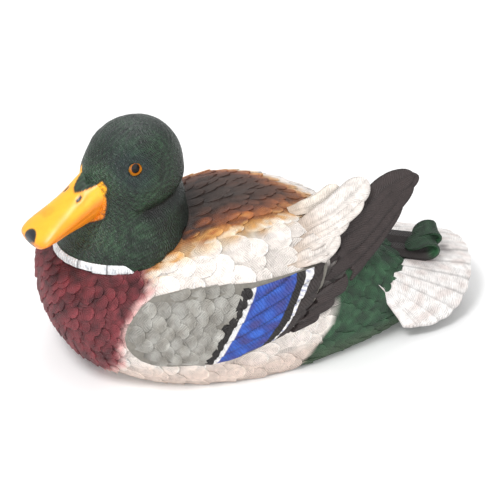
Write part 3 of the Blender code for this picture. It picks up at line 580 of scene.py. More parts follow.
def lay_coat(name, rows, skin, finish, yaw=0.0, seed=1):
    """Feathers on a skin. rows: dict of place, aim, out, length, width, lift, tone and kind."""
    points = bpy.data.meshes.new(name + "_points")
    points.from_pydata([tuple(p) for p in rows["place"]], [], [])
    for key in ("aim", "out"):
        set_values(points, key, rows[key], "FLOAT_VECTOR", "vector")
    for key in ROW_KEYS[3:]:
        set_values(points, key, rows[key])
    obj = bpy.data.objects.new(name + "_laid", points)
    bpy.context.scene.collection.objects.link(obj)
    modifier = obj.modifiers.new("coat", "NODES")
    modifier.node_group = coat
    sockets = {item.name: item.identifier for item in coat.interface.items_tree
               if item.in_out == "INPUT"}
    inputs = {"Skin": skin, "Feather": feather, "Yaw": yaw, "Seed": seed, "Finish": finish}
    for key, value in inputs.items():
        modifier[sockets[key]] = value
    graph = bpy.context.evaluated_depsgraph_get()
    mesh = bpy.data.meshes.new_from_object(obj.evaluated_get(graph), depsgraph=graph,
                                           preserve_all_data_layers=True)
    mesh.name = name
    bpy.data.objects.remove(obj)
    length, width = get_values(mesh, "length") / MM, get_values(mesh, "width") / MM
    rise = get_values(mesh, "rise")
    spots = positions(mesh)
    spots[:, 2] = np.maximum(spots[:, 2], LOWEST)
    mesh.vertices.foreach_set("co", spots.astype(np.float32).ravel())
    for key, size in (("ahead", length), ("beside", width)):
        mesh.attributes[key].data.foreach_set("value", (get_values(mesh, key) * size).astype(np.float32))
    return bpy.data.objects.new(name, mesh), rise


def brushed(colours, mesh, rise):
    """Hand-painted feathers: each a little lighter or darker, dry-brushed light along the rim, and darker
    at the root and in the grooves between, partly the dark wash of real paint and partly painted shade."""
    along = get_values(mesh, "ahead") / (get_values(mesh, "length") / MM)
    out = np.abs(get_values(mesh, "beside")) / (get_values(mesh, "width") / MM)
    half = np.interp(along, [row[0] for row in FEATHER_ROWS], [row[1] for row in FEATHER_ROWS])
    rim = np.maximum(ease(out / half, 0.89, 0.99), ease(along, 0.96, 0.99))
    colours = colours * (1 + 0.12 * get_values(mesh, "tone"))[:, None]
    colours = mix(colours, np.clip(colours * 1.30 + 0.02, 0, 1), 0.7 * rim * ease(rise, 0.3, 0.8))
    # Painted shade with the paint's own dark wash: darker at the root, and down each rim's wall to 0.10.
    base = 0.52 + 0.32 * ease(colours.mean(1), 0.05, 0.45)
    wash_and_shade = base + (1 - base) * ease(along, 0.46, 0.62)
    wash_and_shade = wash_and_shade * (0.10 + 0.90 * ease(rise, -0.75, 0.35 * ease(along, 0.4, 0.7) - 0.30))
    return colours * wash_and_shade[:, None]


# %% [markdown]
# ## Where the body feathers go
# Carvers lay feathers in staggered rows: small on the breast and rump, larger behind.
# We throw points at the skin in a fixed random order and keep those that are far enough
# from the last, in feather lengths ahead and feather widths to the side.

# %% Sizes of the feathers in each zone: length, width, gap ahead, gap beside, lift
NECK_CUT = 80.0  # the height below which the neck is hidden in the hull
ZONES = {
    "breast": (13.0, 10.4, 5.6, 6.4, 1.5),
    "mantle": (22.0, 8.4, 7.6, 4.6, 1.3),
    "scapular": (30.0, 17.0, 11.5, 9.0, 1.35),
    "flank": (28.0, 15.0, 11.0, 8.4, 1.3),
    "rump": (17.0, 9.4, 6.6, 5.6, 1.0),
}
GAP_OUT = 8.0       # so that feathers on another side of an edge don't count
CELL = 14 * MM      # points are looked up in cubes this wide, more than any gap
NECK_CLEAR = 1.2 * MM
THROWN = 34000
WING_EDGE = [(-119, 54), (-112, 68), (-95, 79), (-60, 83), (-20, 83), (37, 83), (30, 70),
             (15, 55), (0, 42), (-18, 34), (-45, 25), (-75, 25.5), (-100, 29), (-114, 40)]


def inside(x, z, edge):
    """Whether (x, z) lies inside a closed outline."""
    hit = False
    for k, (ax, az) in enumerate(edge):
        bx, bz = edge[k - 1]
        if (az > z) != (bz > z) and x < (bx - ax) * (z - az) / (bz - az) + ax:
            hit = not hit
    return hit


def zone_of(place):
    x, side, z = place[0] / MM, abs(place[1]) / MM, place[2] / MM
    if z < 2.0:
        return None
    if x > tail_edge(side):
        return None
    if x > rump_edge(side, z):
        return "rump"
    if x < np.interp(z, BREAST_Z, BREAST_X) + 2 and z < 95:
        return "breast"
    if side > 50 and inside(x, z, WING_EDGE):
        return None
    if z > 74 and mantle_depth(x, side) > 0:
        return "mantle"
    return "scapular" if z > 60 else "flank"


def flow(place):
    """The way the feathers point: aft, and down over the breast."""
    side = 1 if place[1] > 0 else -1
    front = float(ease(-place[0] / MM, 118, 158))
    aft = Vector((1, 0.10 * side, -0.10))
    down = Vector((0.35, 0.25 * side, -0.9))
    return aft.lerp(down, front)


def throw_points():
    draw = np.random.default_rng(11)
    faces, areas = [], []
    for face in hull.faces:
        middle, normal = face.calc_center_median(), face.normal
        if middle.z < 0.001 or hull_tree.ray_cast(middle + normal * 0.0005, normal)[0] is not None:
            continue
        faces.append([v.co.copy() for v in face.verts])
        areas.append(face.calc_area())
    picks = draw.choice(len(faces), THROWN, p=np.array(areas) / sum(areas))
    shares = draw.uniform(size=(THROWN, 2))
    rows = {key: [] for key in ROW_KEYS + ("zone",)}
    cells = {}
    for pick, (u, v) in zip(picks, shares):
        a, b, c = faces[pick]
        root = math.sqrt(u)
        place = a * (1 - root) + b * (root * (1 - v)) + c * (root * v)
        zone = zone_of(place)
        if zone is None:
            continue
        near, normal, _, _ = head_tree.find_nearest(place)
        if (place - near).dot(normal) < NECK_CLEAR and place.z > NECK_CUT * MM:
            continue
        length, width, gap_ahead, gap_beside, lift = ZONES[zone]
        _, out, _, _ = hull_tree.find_nearest(place)
        aim = flow(place)
        aim = (aim - out * aim.dot(out)).normalized()
        beside = out.cross(aim)
        cell = tuple(int(q // CELL) for q in place)
        clear = True
        for key in [(cell[0] + i, cell[1] + j, cell[2] + k)
                    for i in (-1, 0, 1) for j in (-1, 0, 1) for k in (-1, 0, 1)]:
            for other in cells.get(key, ()):
                gap = (place - other) / MM
                if ((gap.dot(aim) / gap_ahead) ** 2 + (gap.dot(beside) / gap_beside) ** 2
                        + (gap.dot(out) / GAP_OUT) ** 2 < 1):
                    clear = False
                    break
            if not clear:
                break
        if not clear:
            continue
        cells.setdefault(cell, []).append(place)
        grow = draw.uniform(0.9, 1.12)
        values = (place - aim * length * MM * 0.5, aim, out, length * MM * grow, width * MM * grow,
                  lift * MM * draw.uniform(0.8, 1.25), draw.uniform(-1, 1), 0, zone)
        for key, value in zip(rows, values):
            rows[key].append(value)
    return rows


thrown = throw_points()
print("feathers", {zone: thrown["zone"].count(zone) for zone in ZONES})


# %% Lay and paint the body coats
COATS = {
    "breast_feathers": (["breast"], "painted_dark"),
    "mantle_feathers": (["mantle"], "painted_dark"),
    "flank_feathers": (["scapular", "flank"], "painted_white"),
    "rump_feathers": (["rump"], "painted_green"),
}
for name, (zones, slot) in COATS.items():
    chosen = [i for i, zone in enumerate(thrown["zone"]) if zone in zones]
    rows = {key: [values[i] for i in chosen] for key, values in thrown.items() if key != "zone"}
    piece, rise = lay_coat(name, rows, nodes["hull_shell"], feather_acrylic, yaw=0.16, seed=4)
    spots = positions(piece.data)
    set_paint(piece.data, brushed(body_paint(spots), piece.data, rise))
    finish_piece(piece, feather_acrylic, slot)

# %% [markdown]
# ## Building sheets and long feathers
# Flight feathers, the blue wing panel and the tail are single shapes, so each is a grid
# of points closed into a thin body. One function closes any grid, and one builds
# a long feather along its shaft: narrow at the root, round at the tip, with a ridge.


# %% Closed sheets
class Collected:
    """Grids gathered into one mesh, with their paint and feather measures."""

    def __init__(self):
        self.verts, self.faces, self.paint, self.ahead, self.beside = [], [], [], [], []

    def sheet(self, top, bottom, paint, ahead, beside, underside_shade=0.35):
        """top and bottom: arrays of rows x columns x 3, in metres."""
        rows, columns = top.shape[:2]
        start = len(self.verts)
        # Painted shade: the bottom grid takes the top's paint darkened, so each sheet's underside and rim
        # wall read dark.
        for grid, shade_factor in ((top, 1.0), (bottom, underside_shade)):
            self.verts += [tuple(p) for p in grid.reshape(-1, 3)]
            self.paint += list((paint * shade_factor).reshape(-1, 3))
            self.ahead += list(ahead.ravel())
            self.beside += list(beside.ravel())
        count = rows * columns
        for r in range(rows - 1):
            for c in range(columns - 1):
                i = start + r * columns + c
                quad = (i, i + columns, i + columns + 1, i + 1)
                self.faces.append(quad)
                self.faces.append(tuple(q + count for q in reversed(quad)))
        rim = [r * columns for r in range(rows)]
        rim += [(rows - 1) * columns + c for c in range(1, columns)]
        rim += [r * columns + columns - 1 for r in range(rows - 2, -1, -1)]
        rim += [c for c in range(columns - 2, 0, -1)]
        for k, i in enumerate(rim):
            n = rim[(k + 1) % len(rim)]
            self.faces.append((start + i, start + i + count, start + n + count, start + n))

    def build(self, name):
        return new_piece(name, self.verts, self.faces, self.paint, self.ahead, self.beside)


def spline(points, count):
    """Points along a smooth curve through the given ones, in equal steps."""
    p = np.array(points, float)
    p = np.vstack([2 * p[0] - p[1], p, 2 * p[-1] - p[-2]])
    out = []
    for i in range(1, len(p) - 2):
        for t in np.linspace(0, 1, 24, endpoint=False):
            a, b, c, d = p[i - 1:i + 3]
            out.append(0.5 * (2 * b + (c - a) * t + (2 * a - 5 * b + 4 * c - d) * t * t
                              + (3 * b - 3 * c + d - a) * t ** 3))
    out.append(p[-2])
    out = np.array(out)
    run = np.concatenate([[0], np.cumsum(np.linalg.norm(np.diff(out, axis=0), axis=1))])
    at = np.linspace(0, run[-1], count)
    return np.stack([np.interp(at, run, out[:, k]) for k in range(out.shape[1])], -1)


def unit(vectors):
    return vectors / np.maximum(np.linalg.norm(vectors, axis=-1, keepdims=True), 1e-9)


TIP_ROWS = 8


def long_feather(into, shaft, half_width, face, painter, thick=1.3, crown=0.16, seat=None, lift=0.0,
                 side=None, rows=26, columns=11, round_from=0.80, root_width=0.6):
    """A long feather in millimetres. painter(along, across, points) gives its colours.
    seat is a tree that it must stay above, and lift how far."""
    line = spline(shaft, 120)
    run = np.linspace(0, 1, 120)
    tip = 1 - (1 - round_from) * np.linspace(0.9, 0, TIP_ROWS) ** 1.7
    t = np.concatenate([np.linspace(0, round_from, rows - TIP_ROWS), tip])
    centre = np.stack([np.interp(t, run, line[:, k]) for k in range(3)], -1)
    ahead_way = unit(np.gradient(centre, t, axis=0))
    face = np.array(face, float)
    if side is None:
        across_way = unit(np.cross(face, ahead_way))
    else:
        across_way = unit(np.tile(np.array(side, float), (rows, 1)))
    up = unit(np.cross(ahead_way, across_way))
    width = half_width * (root_width + (1 - root_width) * ease(t, 0, 0.35))
    past = np.clip(t - round_from, 0, 1) / (1 - round_from)
    width = width * np.sqrt(np.clip(1 - past ** 2, 0.004, 1))
    a = np.linspace(-1, 1, columns)
    ridge = 0.30 * np.exp(-(a / 0.10) ** 2) - crown * width[:, None] * a ** 2
    top = centre[:, None] + across_way[:, None] * (a[None, :, None] * width[:, None, None])
    top = top + up[:, None] * ridge[..., None]
    if seat is not None:
        for r in range(rows):
            for c in range(columns):
                point = Vector(top[r, c] * MM)
                near, normal, _, _ = seat.find_nearest(point)
                gap = (point - near).dot(normal) / MM
                need = (lift + thick) * float(ease(t[r], 0.0, 0.35)) + 0.2
                if gap < need:
                    top[r, c] = np.array(near + normal * need * MM) / MM
    bottom = top - up[:, None] * thick
    length = np.linalg.norm(np.diff(line, axis=0), axis=1).sum()
    along = np.repeat(t[:, None], columns, 1)
    over = np.repeat(a[None], rows, 0)
    paint = painter(along, over, top * MM)
    into.sheet(top * MM, bottom * MM, paint, along * length, over * width[:, None])


# %% [markdown]
# ## The wings: grey coverts, blue panel
# The folded wing lies on the flank as a shield. Its front is grey, with rows of round
# coverts. Across its rear run the bars that tell a mallard: black, white, blue, black, white.
# The coverts are laid by the same node tree as the body's feathers, in staggered rows.

# %% Staggered coverts, the lumpy black bar and the wing's skin
COVERT_LENGTH, COVERT_WIDTH, COVERT_STEP, COVERT_ROW = 18.5, 13.5, 10.4, 7.872
BLACK_BAR = [(-31, 79), (-43, 63), (-53, 46), (-64, 28)]


def bar_x(z):
    """The front of the black bar, at height z."""
    return np.interp(z, [p[1] for p in reversed(BLACK_BAR)], [p[0] for p in reversed(BLACK_BAR)])


def on_wing(x, z, hand):
    """The wing's outer skin at (x, z): place and normal."""
    start = Vector((x * MM, hand * OUTSIDE, z * MM))
    hit, normal, _, _ = wing_trees[hand].ray_cast(start, Vector((0, -hand, 0)))
    return hit, normal


def covert_rows(hand):
    draw = np.random.default_rng(21)
    rows = {key: [] for key in ROW_KEYS}

    def put(x, z, length, width, lift, kind, drop=-0.22):
        place, out = on_wing(x, z, hand)
        if place is None:
            return
        aim = Vector((1, 0, drop))
        aim = (aim - out * aim.dot(out)).normalized()
        values = (place - aim * length * MM * 0.5, aim, out, length * MM, width * MM,
                  lift * MM, draw.uniform(-1, 1), kind)
        for key, value in zip(rows, values):
            rows[key].append(value)

    for j in range(9):
        for i in range(14):
            x = -120 + COVERT_STEP * i + (COVERT_STEP / 2 if j % 2 else 0) + draw.uniform(-0.8, 0.8)
            z = 82 - COVERT_ROW * j + draw.uniform(-0.6, 0.6)
            on_shield = inside(x, z, WING_EDGE) or inside(x, z - 3, WING_EDGE)
            if on_shield and x < bar_x(z) - 6.5:
                length = COVERT_LENGTH * draw.uniform(0.93, 1.07)
                put(x, z, length, COVERT_WIDTH * draw.uniform(0.93, 1.07), 1.4, 0)
    for z in np.arange(79, 25, -6.0):
        put(bar_x(z) - 0.4 + draw.uniform(-0.5, 0.5), z, 10.5, 8.6, 2.7, 1, -0.35)
    return rows


def wing_paint(mesh, rise):
    spots = positions(mesh)
    kind = get_values(mesh, "kind")
    grey = ramp(mottle(spots / MM, 16, 14), [(-1, "#8A867E"), (0, "#9C9992"), (1, "#B4B2AC")])
    return brushed(mix(grey, "#1E1A19", kind > 0.5), mesh, rise)


for hand, side_name in ((-1, "left"), (1, "right")):
    piece, rise = lay_coat("coverts_" + side_name, covert_rows(hand), nodes["wing_" + side_name],
                           feather_acrylic, yaw=0.05, seed=9)
    set_paint(piece.data, wing_paint(piece.data, rise))
    finish_piece(piece, feather_acrylic, "painted_wing")

# %% [markdown]
# ## The blue panel
# The secondaries overlap like roof tiles, each with its bands of colour.
# Drawing them as one sheet with a saw-tooth relief keeps every band's edge sharp.

# %% Bars of the panel, each as x and z at four heights from top to bottom
BARS = [
    [(-33, 81), (-43, 63), (-53, 46), (-64, 26.5)],
    [(-26.5, 81), (-37, 63), (-47, 46), (-58.5, 26)],
    [(-22.5, 81.5), (-33, 63), (-43, 46), (-55, 26)],
    [(11, 83.5), (0, 66), (-8, 52), (-21, 35.5)],
    [(18, 83.5), (6.5, 66), (-1, 52), (-14, 38)],
    [(25, 83.5), (9.4, 66), (1.0, 52), (-11.5, 39)],
    [(36, 83.5), (23, 66), (11, 52), (-1, 43)],
]
BAR_COLUMNS = [3, 3, 16, 6, 4, 6]
PANEL_FEATHERS = 4.2


def wing_panel(hand):
    rows = 64
    v = np.linspace(0, 1, rows)
    lines = [spline([(x, z, 0) for x, z in bar], rows)[:, :2] for bar in BARS]
    columns, band = [], []
    for k, count in enumerate(BAR_COLUMNS):
        for s in np.linspace(0.03, 0.97, count):
            columns.append(lines[k] * (1 - s) + lines[k + 1] * s)
            band.append(k + s)
    grid = np.stack(columns, 1)
    band = np.array(band)
    width = np.cumsum(np.concatenate([[0], np.linalg.norm(np.diff(grid[rows // 2], axis=0), axis=1)]))
    phase = PANEL_FEATHERS * (v[:, None] + 0.0062 * width[None])
    tooth = phase % 1
    height = 0.5 + 1.3 * tooth * (1 - ease(tooth, 0.95, 1.0))
    top = np.zeros((rows, len(band), 3))
    low = np.zeros_like(top)
    for r in range(rows):
        for c in range(len(band)):
            x, z = grid[r, c]
            place, out = on_wing(x, z, hand)
            if place is None:
                near, out, _, _ = body_tree.find_nearest(Vector((x * MM, hand * 0.082, z * MM)))
                place = near
            top[r, c] = place + out * height[r, c] * MM
            low[r, c] = place - out * 1.0 * MM
    flat = (top / MM).reshape(-1, 3)
    flat[:, 1] = np.abs(flat[:, 1])
    brush = mottle(flat * np.array([0.3, 1, 1]), 5, 31).reshape(rows, -1)
    blue = ramp(brush + 0.5 * (0.6 - tooth), [(-1, "#3A3C80"), (0, "#2A479E"), (1.1, "#2F5FC0")])
    black = np.tile(paint_code("#1E1A19"), (rows, len(band), 1))
    white = np.tile(paint_code("#EDEBEA"), (rows, len(band), 1))
    tints = [black, white, blue, black, white, np.tile(paint_code("#332B2A"), (rows, len(band), 1))]
    colour = np.zeros((rows, len(band), 3))
    for k in range(6):
        here = (band >= k) & (band < k + 1)
        colour[:, here] = tints[k][:, here]
    speck = ease(mottle(flat, 3.2, 33).reshape(rows, -1), 0.35, 0.5) * ((band > 4) & (band < 5))
    colour = mix(colour, "#4A5C9E", 0.6 * speck)
    colour = colour * (1 - 0.75 * ease(tooth, 0.90, 0.97) * (1 - ease(tooth, 0.97, 1.0)))[..., None]
    sheet = Collected()
    sheet.sheet(top, low, colour, np.repeat(width[None], rows, 0), tooth * 12)
    return sheet


for hand, side_name in ((-1, "left"), (1, "right")):
    piece = wing_panel(hand).build("wing_bars_" + side_name)
    finish_piece(piece, flight_acrylic, "painted_wing")

# %% [markdown]
# ## Tertials and primaries
# Behind the panel lie long white tertials, and under them the dark primaries,
# which sweep over the rump and cross above the tail.
# The right wing's lie lower and are shorter, so that the left ones cover them.

# %% Shafts of the left wing's long feathers, and how far the right wing's tips drop
TERTIALS = [
    ([(5, -69, 88), (22, -65, 89), (38, -57, 88), (52, -46, 94)], 7.0, 1.0, "#F0E7E0"),
    ([(12, -60, 92), (32, -51, 93), (49, -45, 96.5), (63, -38, 101)], 6.0, 1.8, "#F2E9E2"),
    ([(20, -51, 95), (44, -44, 98), (62, -37.5, 103), (78.5, -27, 107)], 5.6, 2.6, "#F2E9E2"),
    ([(22, -40, 98), (50, -35, 105), (65, -27, 110), (76, -21, 113.5), (85.5, -15, 117)],
     10.5, 3.4, "#F2EAE4"),
    ([(20, -26, 106), (38, -24, 107), (50, -21, 110), (63, -15, 115)], 7.0, 4.4, "#EFE4D8"),
]
PRIMARIES = [
    ([(-6, -85, 44), (8, -84, 47), (26, -81, 51)], 5.5, 0.5),
    ([(-2, -84, 51), (16, -82, 55), (38, -76, 58)], 6.5, 0.9),
    ([(6, -81, 61), (28, -77, 64), (50, -65, 67)], 8.0, 1.0),
    ([(22, -76, 64), (52, -60, 69), (75, -46, 77), (95, -31, 87.5), (114, -17, 98)], 8.0, 1.2),
    ([(24, -72, 72), (60, -50, 79), (85, -34, 88.5), (105, -20, 97.5), (126, -8.5, 103)], 9.5, 1.8),
    ([(30, -62, 80), (70, -39, 89), (95, -22, 99.5), (115, -10, 104.5), (132.5, -4, 106)], 9.5, 2.6),
    ([(40, -46, 90), (80, -27, 99), (100, -14, 105.5), (118, -7, 108), (128, -4.5, 109)], 9.5, 3.2),
]
LEAN = math.radians(42)
FAR_DROP = 44.0                   # how far the right wing's tips lie lower
FAR_FROM, FAR_SHARE = 60.0, 0.6   # and the length that it keeps aft of this x


def shade_of(code, along, over, points, seed, dark=0.0):
    """A feather's paint: base code, brush mottle, dark root, soft dark edges and shaft."""
    flat = points.reshape(-1, 3) / MM
    flat[:, 1] = np.abs(flat[:, 1])
    brush = mottle(flat * np.array([0.4, 1, 1]), 7, seed).reshape(along.shape)
    colour = np.tile(paint_code(code), (*along.shape, 1)) * (1 + 0.10 * brush)[..., None]
    colour = colour * (0.72 + 0.28 * ease(along, 0.0, 0.35))[..., None]
    lines = 0.42 * ease(np.abs(over), 0.86, 1.0) + 0.25 * np.exp(-(over / 0.06) ** 2)
    colour = colour * (1 - lines)[..., None]
    return mix(colour, "#C9A98C", dark * ease(0.5 - along, 0, 0.5))


def lowered(shaft, hand):
    """A shaft for one wing: mirrored for the right, with its tip lower and drawn in."""
    points = np.array(shaft, float)
    if hand < 0:
        return points
    points[:, 1] *= -1
    points[:, 0] = np.minimum(points[:, 0], FAR_FROM + FAR_SHARE * (points[:, 0] - FAR_FROM))
    points[:, 2] -= FAR_DROP * ease(points[:, 0], -10, 75)
    return points


for hand, side_name in ((-1, "left"), (1, "right")):
    face = (0, hand * math.sin(LEAN), math.cos(LEAN))
    whites, darks = Collected(), Collected()
    for k, (shaft, half, lift, code) in enumerate(TERTIALS):
        long_feather(whites, lowered(shaft, hand), half, face,
                     lambda along, over, points, code=code, k=k:
                     shade_of(code, along, over, points, 40 + k, 0.5),
                     seat=body_tree, lift=lift)
    for k, (shaft, half, lift) in enumerate(PRIMARIES):
        long_feather(darks, lowered(shaft, hand), half, face,
                     lambda along, over, points, k=k: shade_of("#3A302F", along, over, points, 50 + k),
                     seat=body_tree, lift=lift, thick=1.6)
    finish_piece(whites.build("tertial_feathers_" + side_name), flight_acrylic,
                 "painted_white", "tertials_" + side_name)
    finish_piece(darks.build("primary_feathers_" + side_name), flight_acrylic,
                 "painted_dark", "primaries_" + side_name)

# %% [markdown]
# ## The tail
# The fan is one white sheet of overlapping feathers with a scalloped rim.
# Two dark feathers curl up over it, and their rolled ends are green outside.

# %% The fan
FAN_TIP_X, FAN_WIDE_X, FAN_HALF, FAN_TIP_Z, FAN_DROOP = 177.4, 104.0, 67.5, 35.5, 28.0
FAN_FEATHERS = 15
FAN_SUNK, FAN_RISE = -1.2, 2.1  # the root starts under the rump's feathers, then clears the hull


def fan_sheet():
    rows, columns = 36, 150
    q = np.linspace(-1, 1, columns)
    tooth = np.abs(q / 2 * FAN_FEATHERS) % 1
    swing = q * math.pi / 2
    scallop = 1 - 0.022 * np.abs(2 * tooth - 1) ** 2
    along = np.linspace(0, 1, rows)[:, None] ** 0.9
    rim_x = FAN_WIDE_X + (FAN_TIP_X - FAN_WIDE_X) * np.cos(swing) ** 0.8
    rim_y = FAN_HALF * np.sin(swing)
    root_y = 61 * np.sin(swing)
    root_x = tail_edge(np.abs(root_y)) - 13
    reach = along * (scallop * (1 - 0.13 * np.abs(q) ** 9))[None]
    x = root_x[None] + (rim_x - root_x)[None] * reach
    y = root_y[None] + (rim_y - root_y)[None] * reach
    z = np.zeros_like(x)
    rim_z = FAN_TIP_Z - FAN_DROOP * (rim_y / FAN_HALF) ** 2
    for c in range(columns):
        skin_z = top_of_hull(root_x[c] * MM, root_y[c] * MM)
        root_z = 30.0 if skin_z is None else skin_z / MM
        z[:, c] = root_z + FAN_SUNK + (rim_z[c] + 2.0 - root_z) * reach[:, c]
    for r in range(rows):
        for c in range(columns):
            skin_z = top_of_hull(x[r, c] * MM, y[r, c] * MM)
            if skin_z is not None:
                seat = FAN_SUNK + FAN_RISE * float(ease(along[r, 0], 0.10, 0.30))
                z[r, c] = max(z[r, c], skin_z / MM + seat)
    step = 0.8 * tooth * (1 - ease(tooth, 0.9, 1.0))
    z = z + step[None] * ease(along, 0.05, 0.4) - 1.2 * ease(along, 0.85, 1.0)
    top = np.stack([x, y, z], -1)
    flat = top.reshape(-1, 3)
    brush = mottle(flat * np.array([0.25, 1, 1]), 9, 61).reshape(rows, columns)
    colour = ramp(brush, [(-1, "#E6DCD8"), (-0.3, "#F1EBE8"), (1, "#FAF7F5")])
    colour = colour * (1 - 0.3 * ease(tooth, 0.86, 0.93) * (1 - ease(tooth, 0.97, 1)))[None, :, None]
    # Painted shadow of the curled feathers: a dark patch just behind their rolled ends, and a mauve-grey
    # one under them.
    curl_shadow = np.exp(-((x - 158) / 9) ** 2 - ((y + 10) / 8) ** 2)
    colour = mix(colour, "#5E5254", 0.85 * curl_shadow * ease(brush, -0.9, 0.4))
    under = np.exp(-((x - 132) / 13) ** 2 - ((y + 22) / 12) ** 2)
    colour = mix(colour, "#8E7374", 0.55 * under)
    sheet = Collected()
    # The fan's underside and rim take its paint at 0.7, as painted shade.
    sheet.sheet(top * MM, (top - np.array([0, 0, 2.4])) * MM, colour, reach * 75,
                np.repeat((tooth * 9)[None], rows, 0), 0.7)
    return sheet


finish_piece(fan_sheet().build("tail_feathers"), flight_acrylic, "painted_white", "tail_fan")

# %% The curled feathers
CURLED = [
    ("front", [(84, -14, 64), (102, -15, 54), (120, -18, 49), (134, -20, 46),
               (141, -20, 48), (142, -19, 53),
               (136, -17.5, 55), (128, -16.5, 52.5), (120, -16, 49)], 8.0),
    ("rear", [(88, 0, 66), (108, -2, 56), (126, -5, 51.5), (141, -8, 49.5),
              (147.5, -9, 52), (147.5, -9, 56.5),
              (142, -8.5, 58.5), (135, -8, 57), (129, -8, 54)], 7.5),
]


def curl_paint(along, over, points):
    patch = mottle(points.reshape(-1, 3) / MM, 6, 71).reshape(along.shape)
    green = ramp(patch, [(-1, "#1F4429"), (1, "#376B44")])
    dark = np.tile(paint_code("#2B2322"), (*along.shape, 1))
    colour = mix(dark, green, ease(along, 0.60, 0.66))
    return colour * (1 - 0.35 * ease(np.abs(over), 0.85, 1))[..., None]


for name, shaft, half in CURLED:
    sheet = Collected()
    long_feather(sheet, shaft, half, (0, 0, 1), curl_paint, side=(0.05, 1, 0.25), thick=1.8, crown=0.10,
                 rows=44, round_from=0.86)
    finish_piece(sheet.build("curled_feather_" + name), flight_acrylic,
                 "painted_green", "tail_curl_" + name)

# %% [markdown]
# ## The head
# The head is smooth, with combed strokes instead of feathers, and is turned to the left.
# We smooth a copy of the casting, then push in the cheek's hollow and paint shade into it.
# Its bill border follows the real bird: a lobe on each cheek and a green point between.

# %% Head measures: neck axis, turn, and the border of the bill
NECK_X = -92.0
TURN = math.radians(20)
NOSTRIL = (51.0, 8.6)  # reach and side
WEDGE_SIDE = -2.5      # the green point sits a little to the left
MOUTH_REACH = [26, 34, 42, 52, 64, 76, 83]
MOUTH_HEIGHT = [138.6, 137, 134.2, 130.2, 126.4, 123, 120.6]
LOBE_SIDE = [0, 4, 8, 12, 15, 18]
LOBE_TOP = [147.5, 149, 152.5, 157, 159.5, 160]


def head_measures(points, lowest=85.0):
    """Reach forward of the neck axis, side from the head's centre plane, and height. The
    neck twists from straight at the lowest height to the head's full turn."""
    place = points / MM
    turn = TURN * ease(place[:, 2], lowest, lowest + 55)
    dx = place[:, 0] - NECK_X
    reach = -dx * np.cos(turn) - place[:, 1] * np.sin(turn)
    side = -dx * np.sin(turn) + place[:, 1] * np.cos(turn)
    return reach, side, place[:, 2]


def from_head(reach, side, z):
    """The place of head measures, in millimetres, above the neck where the turn is full."""
    x = NECK_X - reach * math.cos(TURN) - side * math.sin(TURN)
    y = -reach * math.sin(TURN) + side * math.cos(TURN)
    return np.stack([x, y, z], -1)


def bill_border(reach, side, z):
    """Millimetres inside the bill's painted border; below 0 on the green."""
    top = np.interp(np.abs(side - WEDGE_SIDE), LOBE_SIDE, LOBE_TOP)
    wiggle = 0.7 * np.sin(z * 0.55)
    return np.minimum.reduce([(top - z) * 0.9, reach - 33.4 + wiggle, z - 128.5 + (reach - 34) * 1.2,
                              18.0 - np.abs(side)])


def head_paint(points, lowest=85.0):
    reach, side, z = head_measures(points, lowest)
    place = points / MM
    combed = mottle(np.stack([reach * 0.22, side, z + 0.35 * reach], -1), 2.6, 81)
    broad = mottle(place, 22, 83)
    green = ramp(broad * 0.35 + combed * 0.65,
                 [(-1, "#0B120E"), (-0.3, "#172B1D"), (0.3, "#243F2A"), (1, "#3D5D42")])
    eye_gap = np.hypot(reach - 15, (z - 164) * 0.9)
    green = mix(green, "#16262C", 0.62 * ease(-eye_gap, -19, -7))
    crown = ease(z, 174, 186)
    green = mix(green, "#3A3A42", 0.35 * crown)
    # Painted shade in the fold under the cheek: the green darkens there to 0.14.
    hollow = np.exp(-((z - 130 + 0.12 * reach) / 6.5) ** 2) * ease(-reach, -28, -4)
    green = green * (1 - 0.86 * hollow)[:, None]
    # Painted shade on the back of the neck, below the cheek.
    green = green * (1 - 0.45 * ease(-z, -136, -124) * ease(-reach, -16, 12))[:, None]
    green = mix(green, "#1E2824", 0.7 * ease(-reach, 6, 34))
    green = green * 0.88
    inner = bill_border(reach, side, z)
    orange = bill_colour(reach, side, z, place)
    colour = mix(green, orange, ease(inner, -0.1, 0.5))
    line = np.exp(-((inner + 0.1) / 0.75) ** 2)
    return colour * (1 - 0.75 * line * (reach > 25))[:, None]


def bill_colour(reach, side, z, place):
    light = ease(z - np.interp(reach, [28, 40, 64, 88], [146, 142.5, 132, 122]), -4, 4)
    colour = mix(paint_code("#F08A0C") + 0 * place, paint_code("#FFB41E"), light)
    patch = mottle(place * np.array([1, 1, 0.5]), 18, 85)
    colour = mix(colour, "#F78F0E", 0.5 * ease(patch, 0.1, 0.9))
    nostril = np.hypot((reach - NOSTRIL[0]) / 2.5, (np.abs(side) - NOSTRIL[1]) / 1.4)
    colour = mix(colour, "#14161E", ease(-nostril, -1.15, -0.85) * (z > 134))
    mouth = np.exp(-((z - np.interp(reach, MOUTH_REACH, MOUTH_HEIGHT)) / 0.5) ** 2)
    colour = mix(colour, "#B8620A", 0.6 * mouth * (np.abs(side) > 8))
    nail = np.hypot((reach - 0.4 * (z - 121) - 88.5) / 7.4, side / 6.8)
    return mix(colour, "#14161E", ease(-nail, -1.08, -0.92))


# %% The head's skin
# Cheek, eye hollow and brow: push out in mm, height, its spread, reach, its spread.
SWELLS = [(1.6, 149, 9, 8, 17), (-0.9, 163.5, 8, 17, 9), (0.5, 173, 4, 17, 12)]


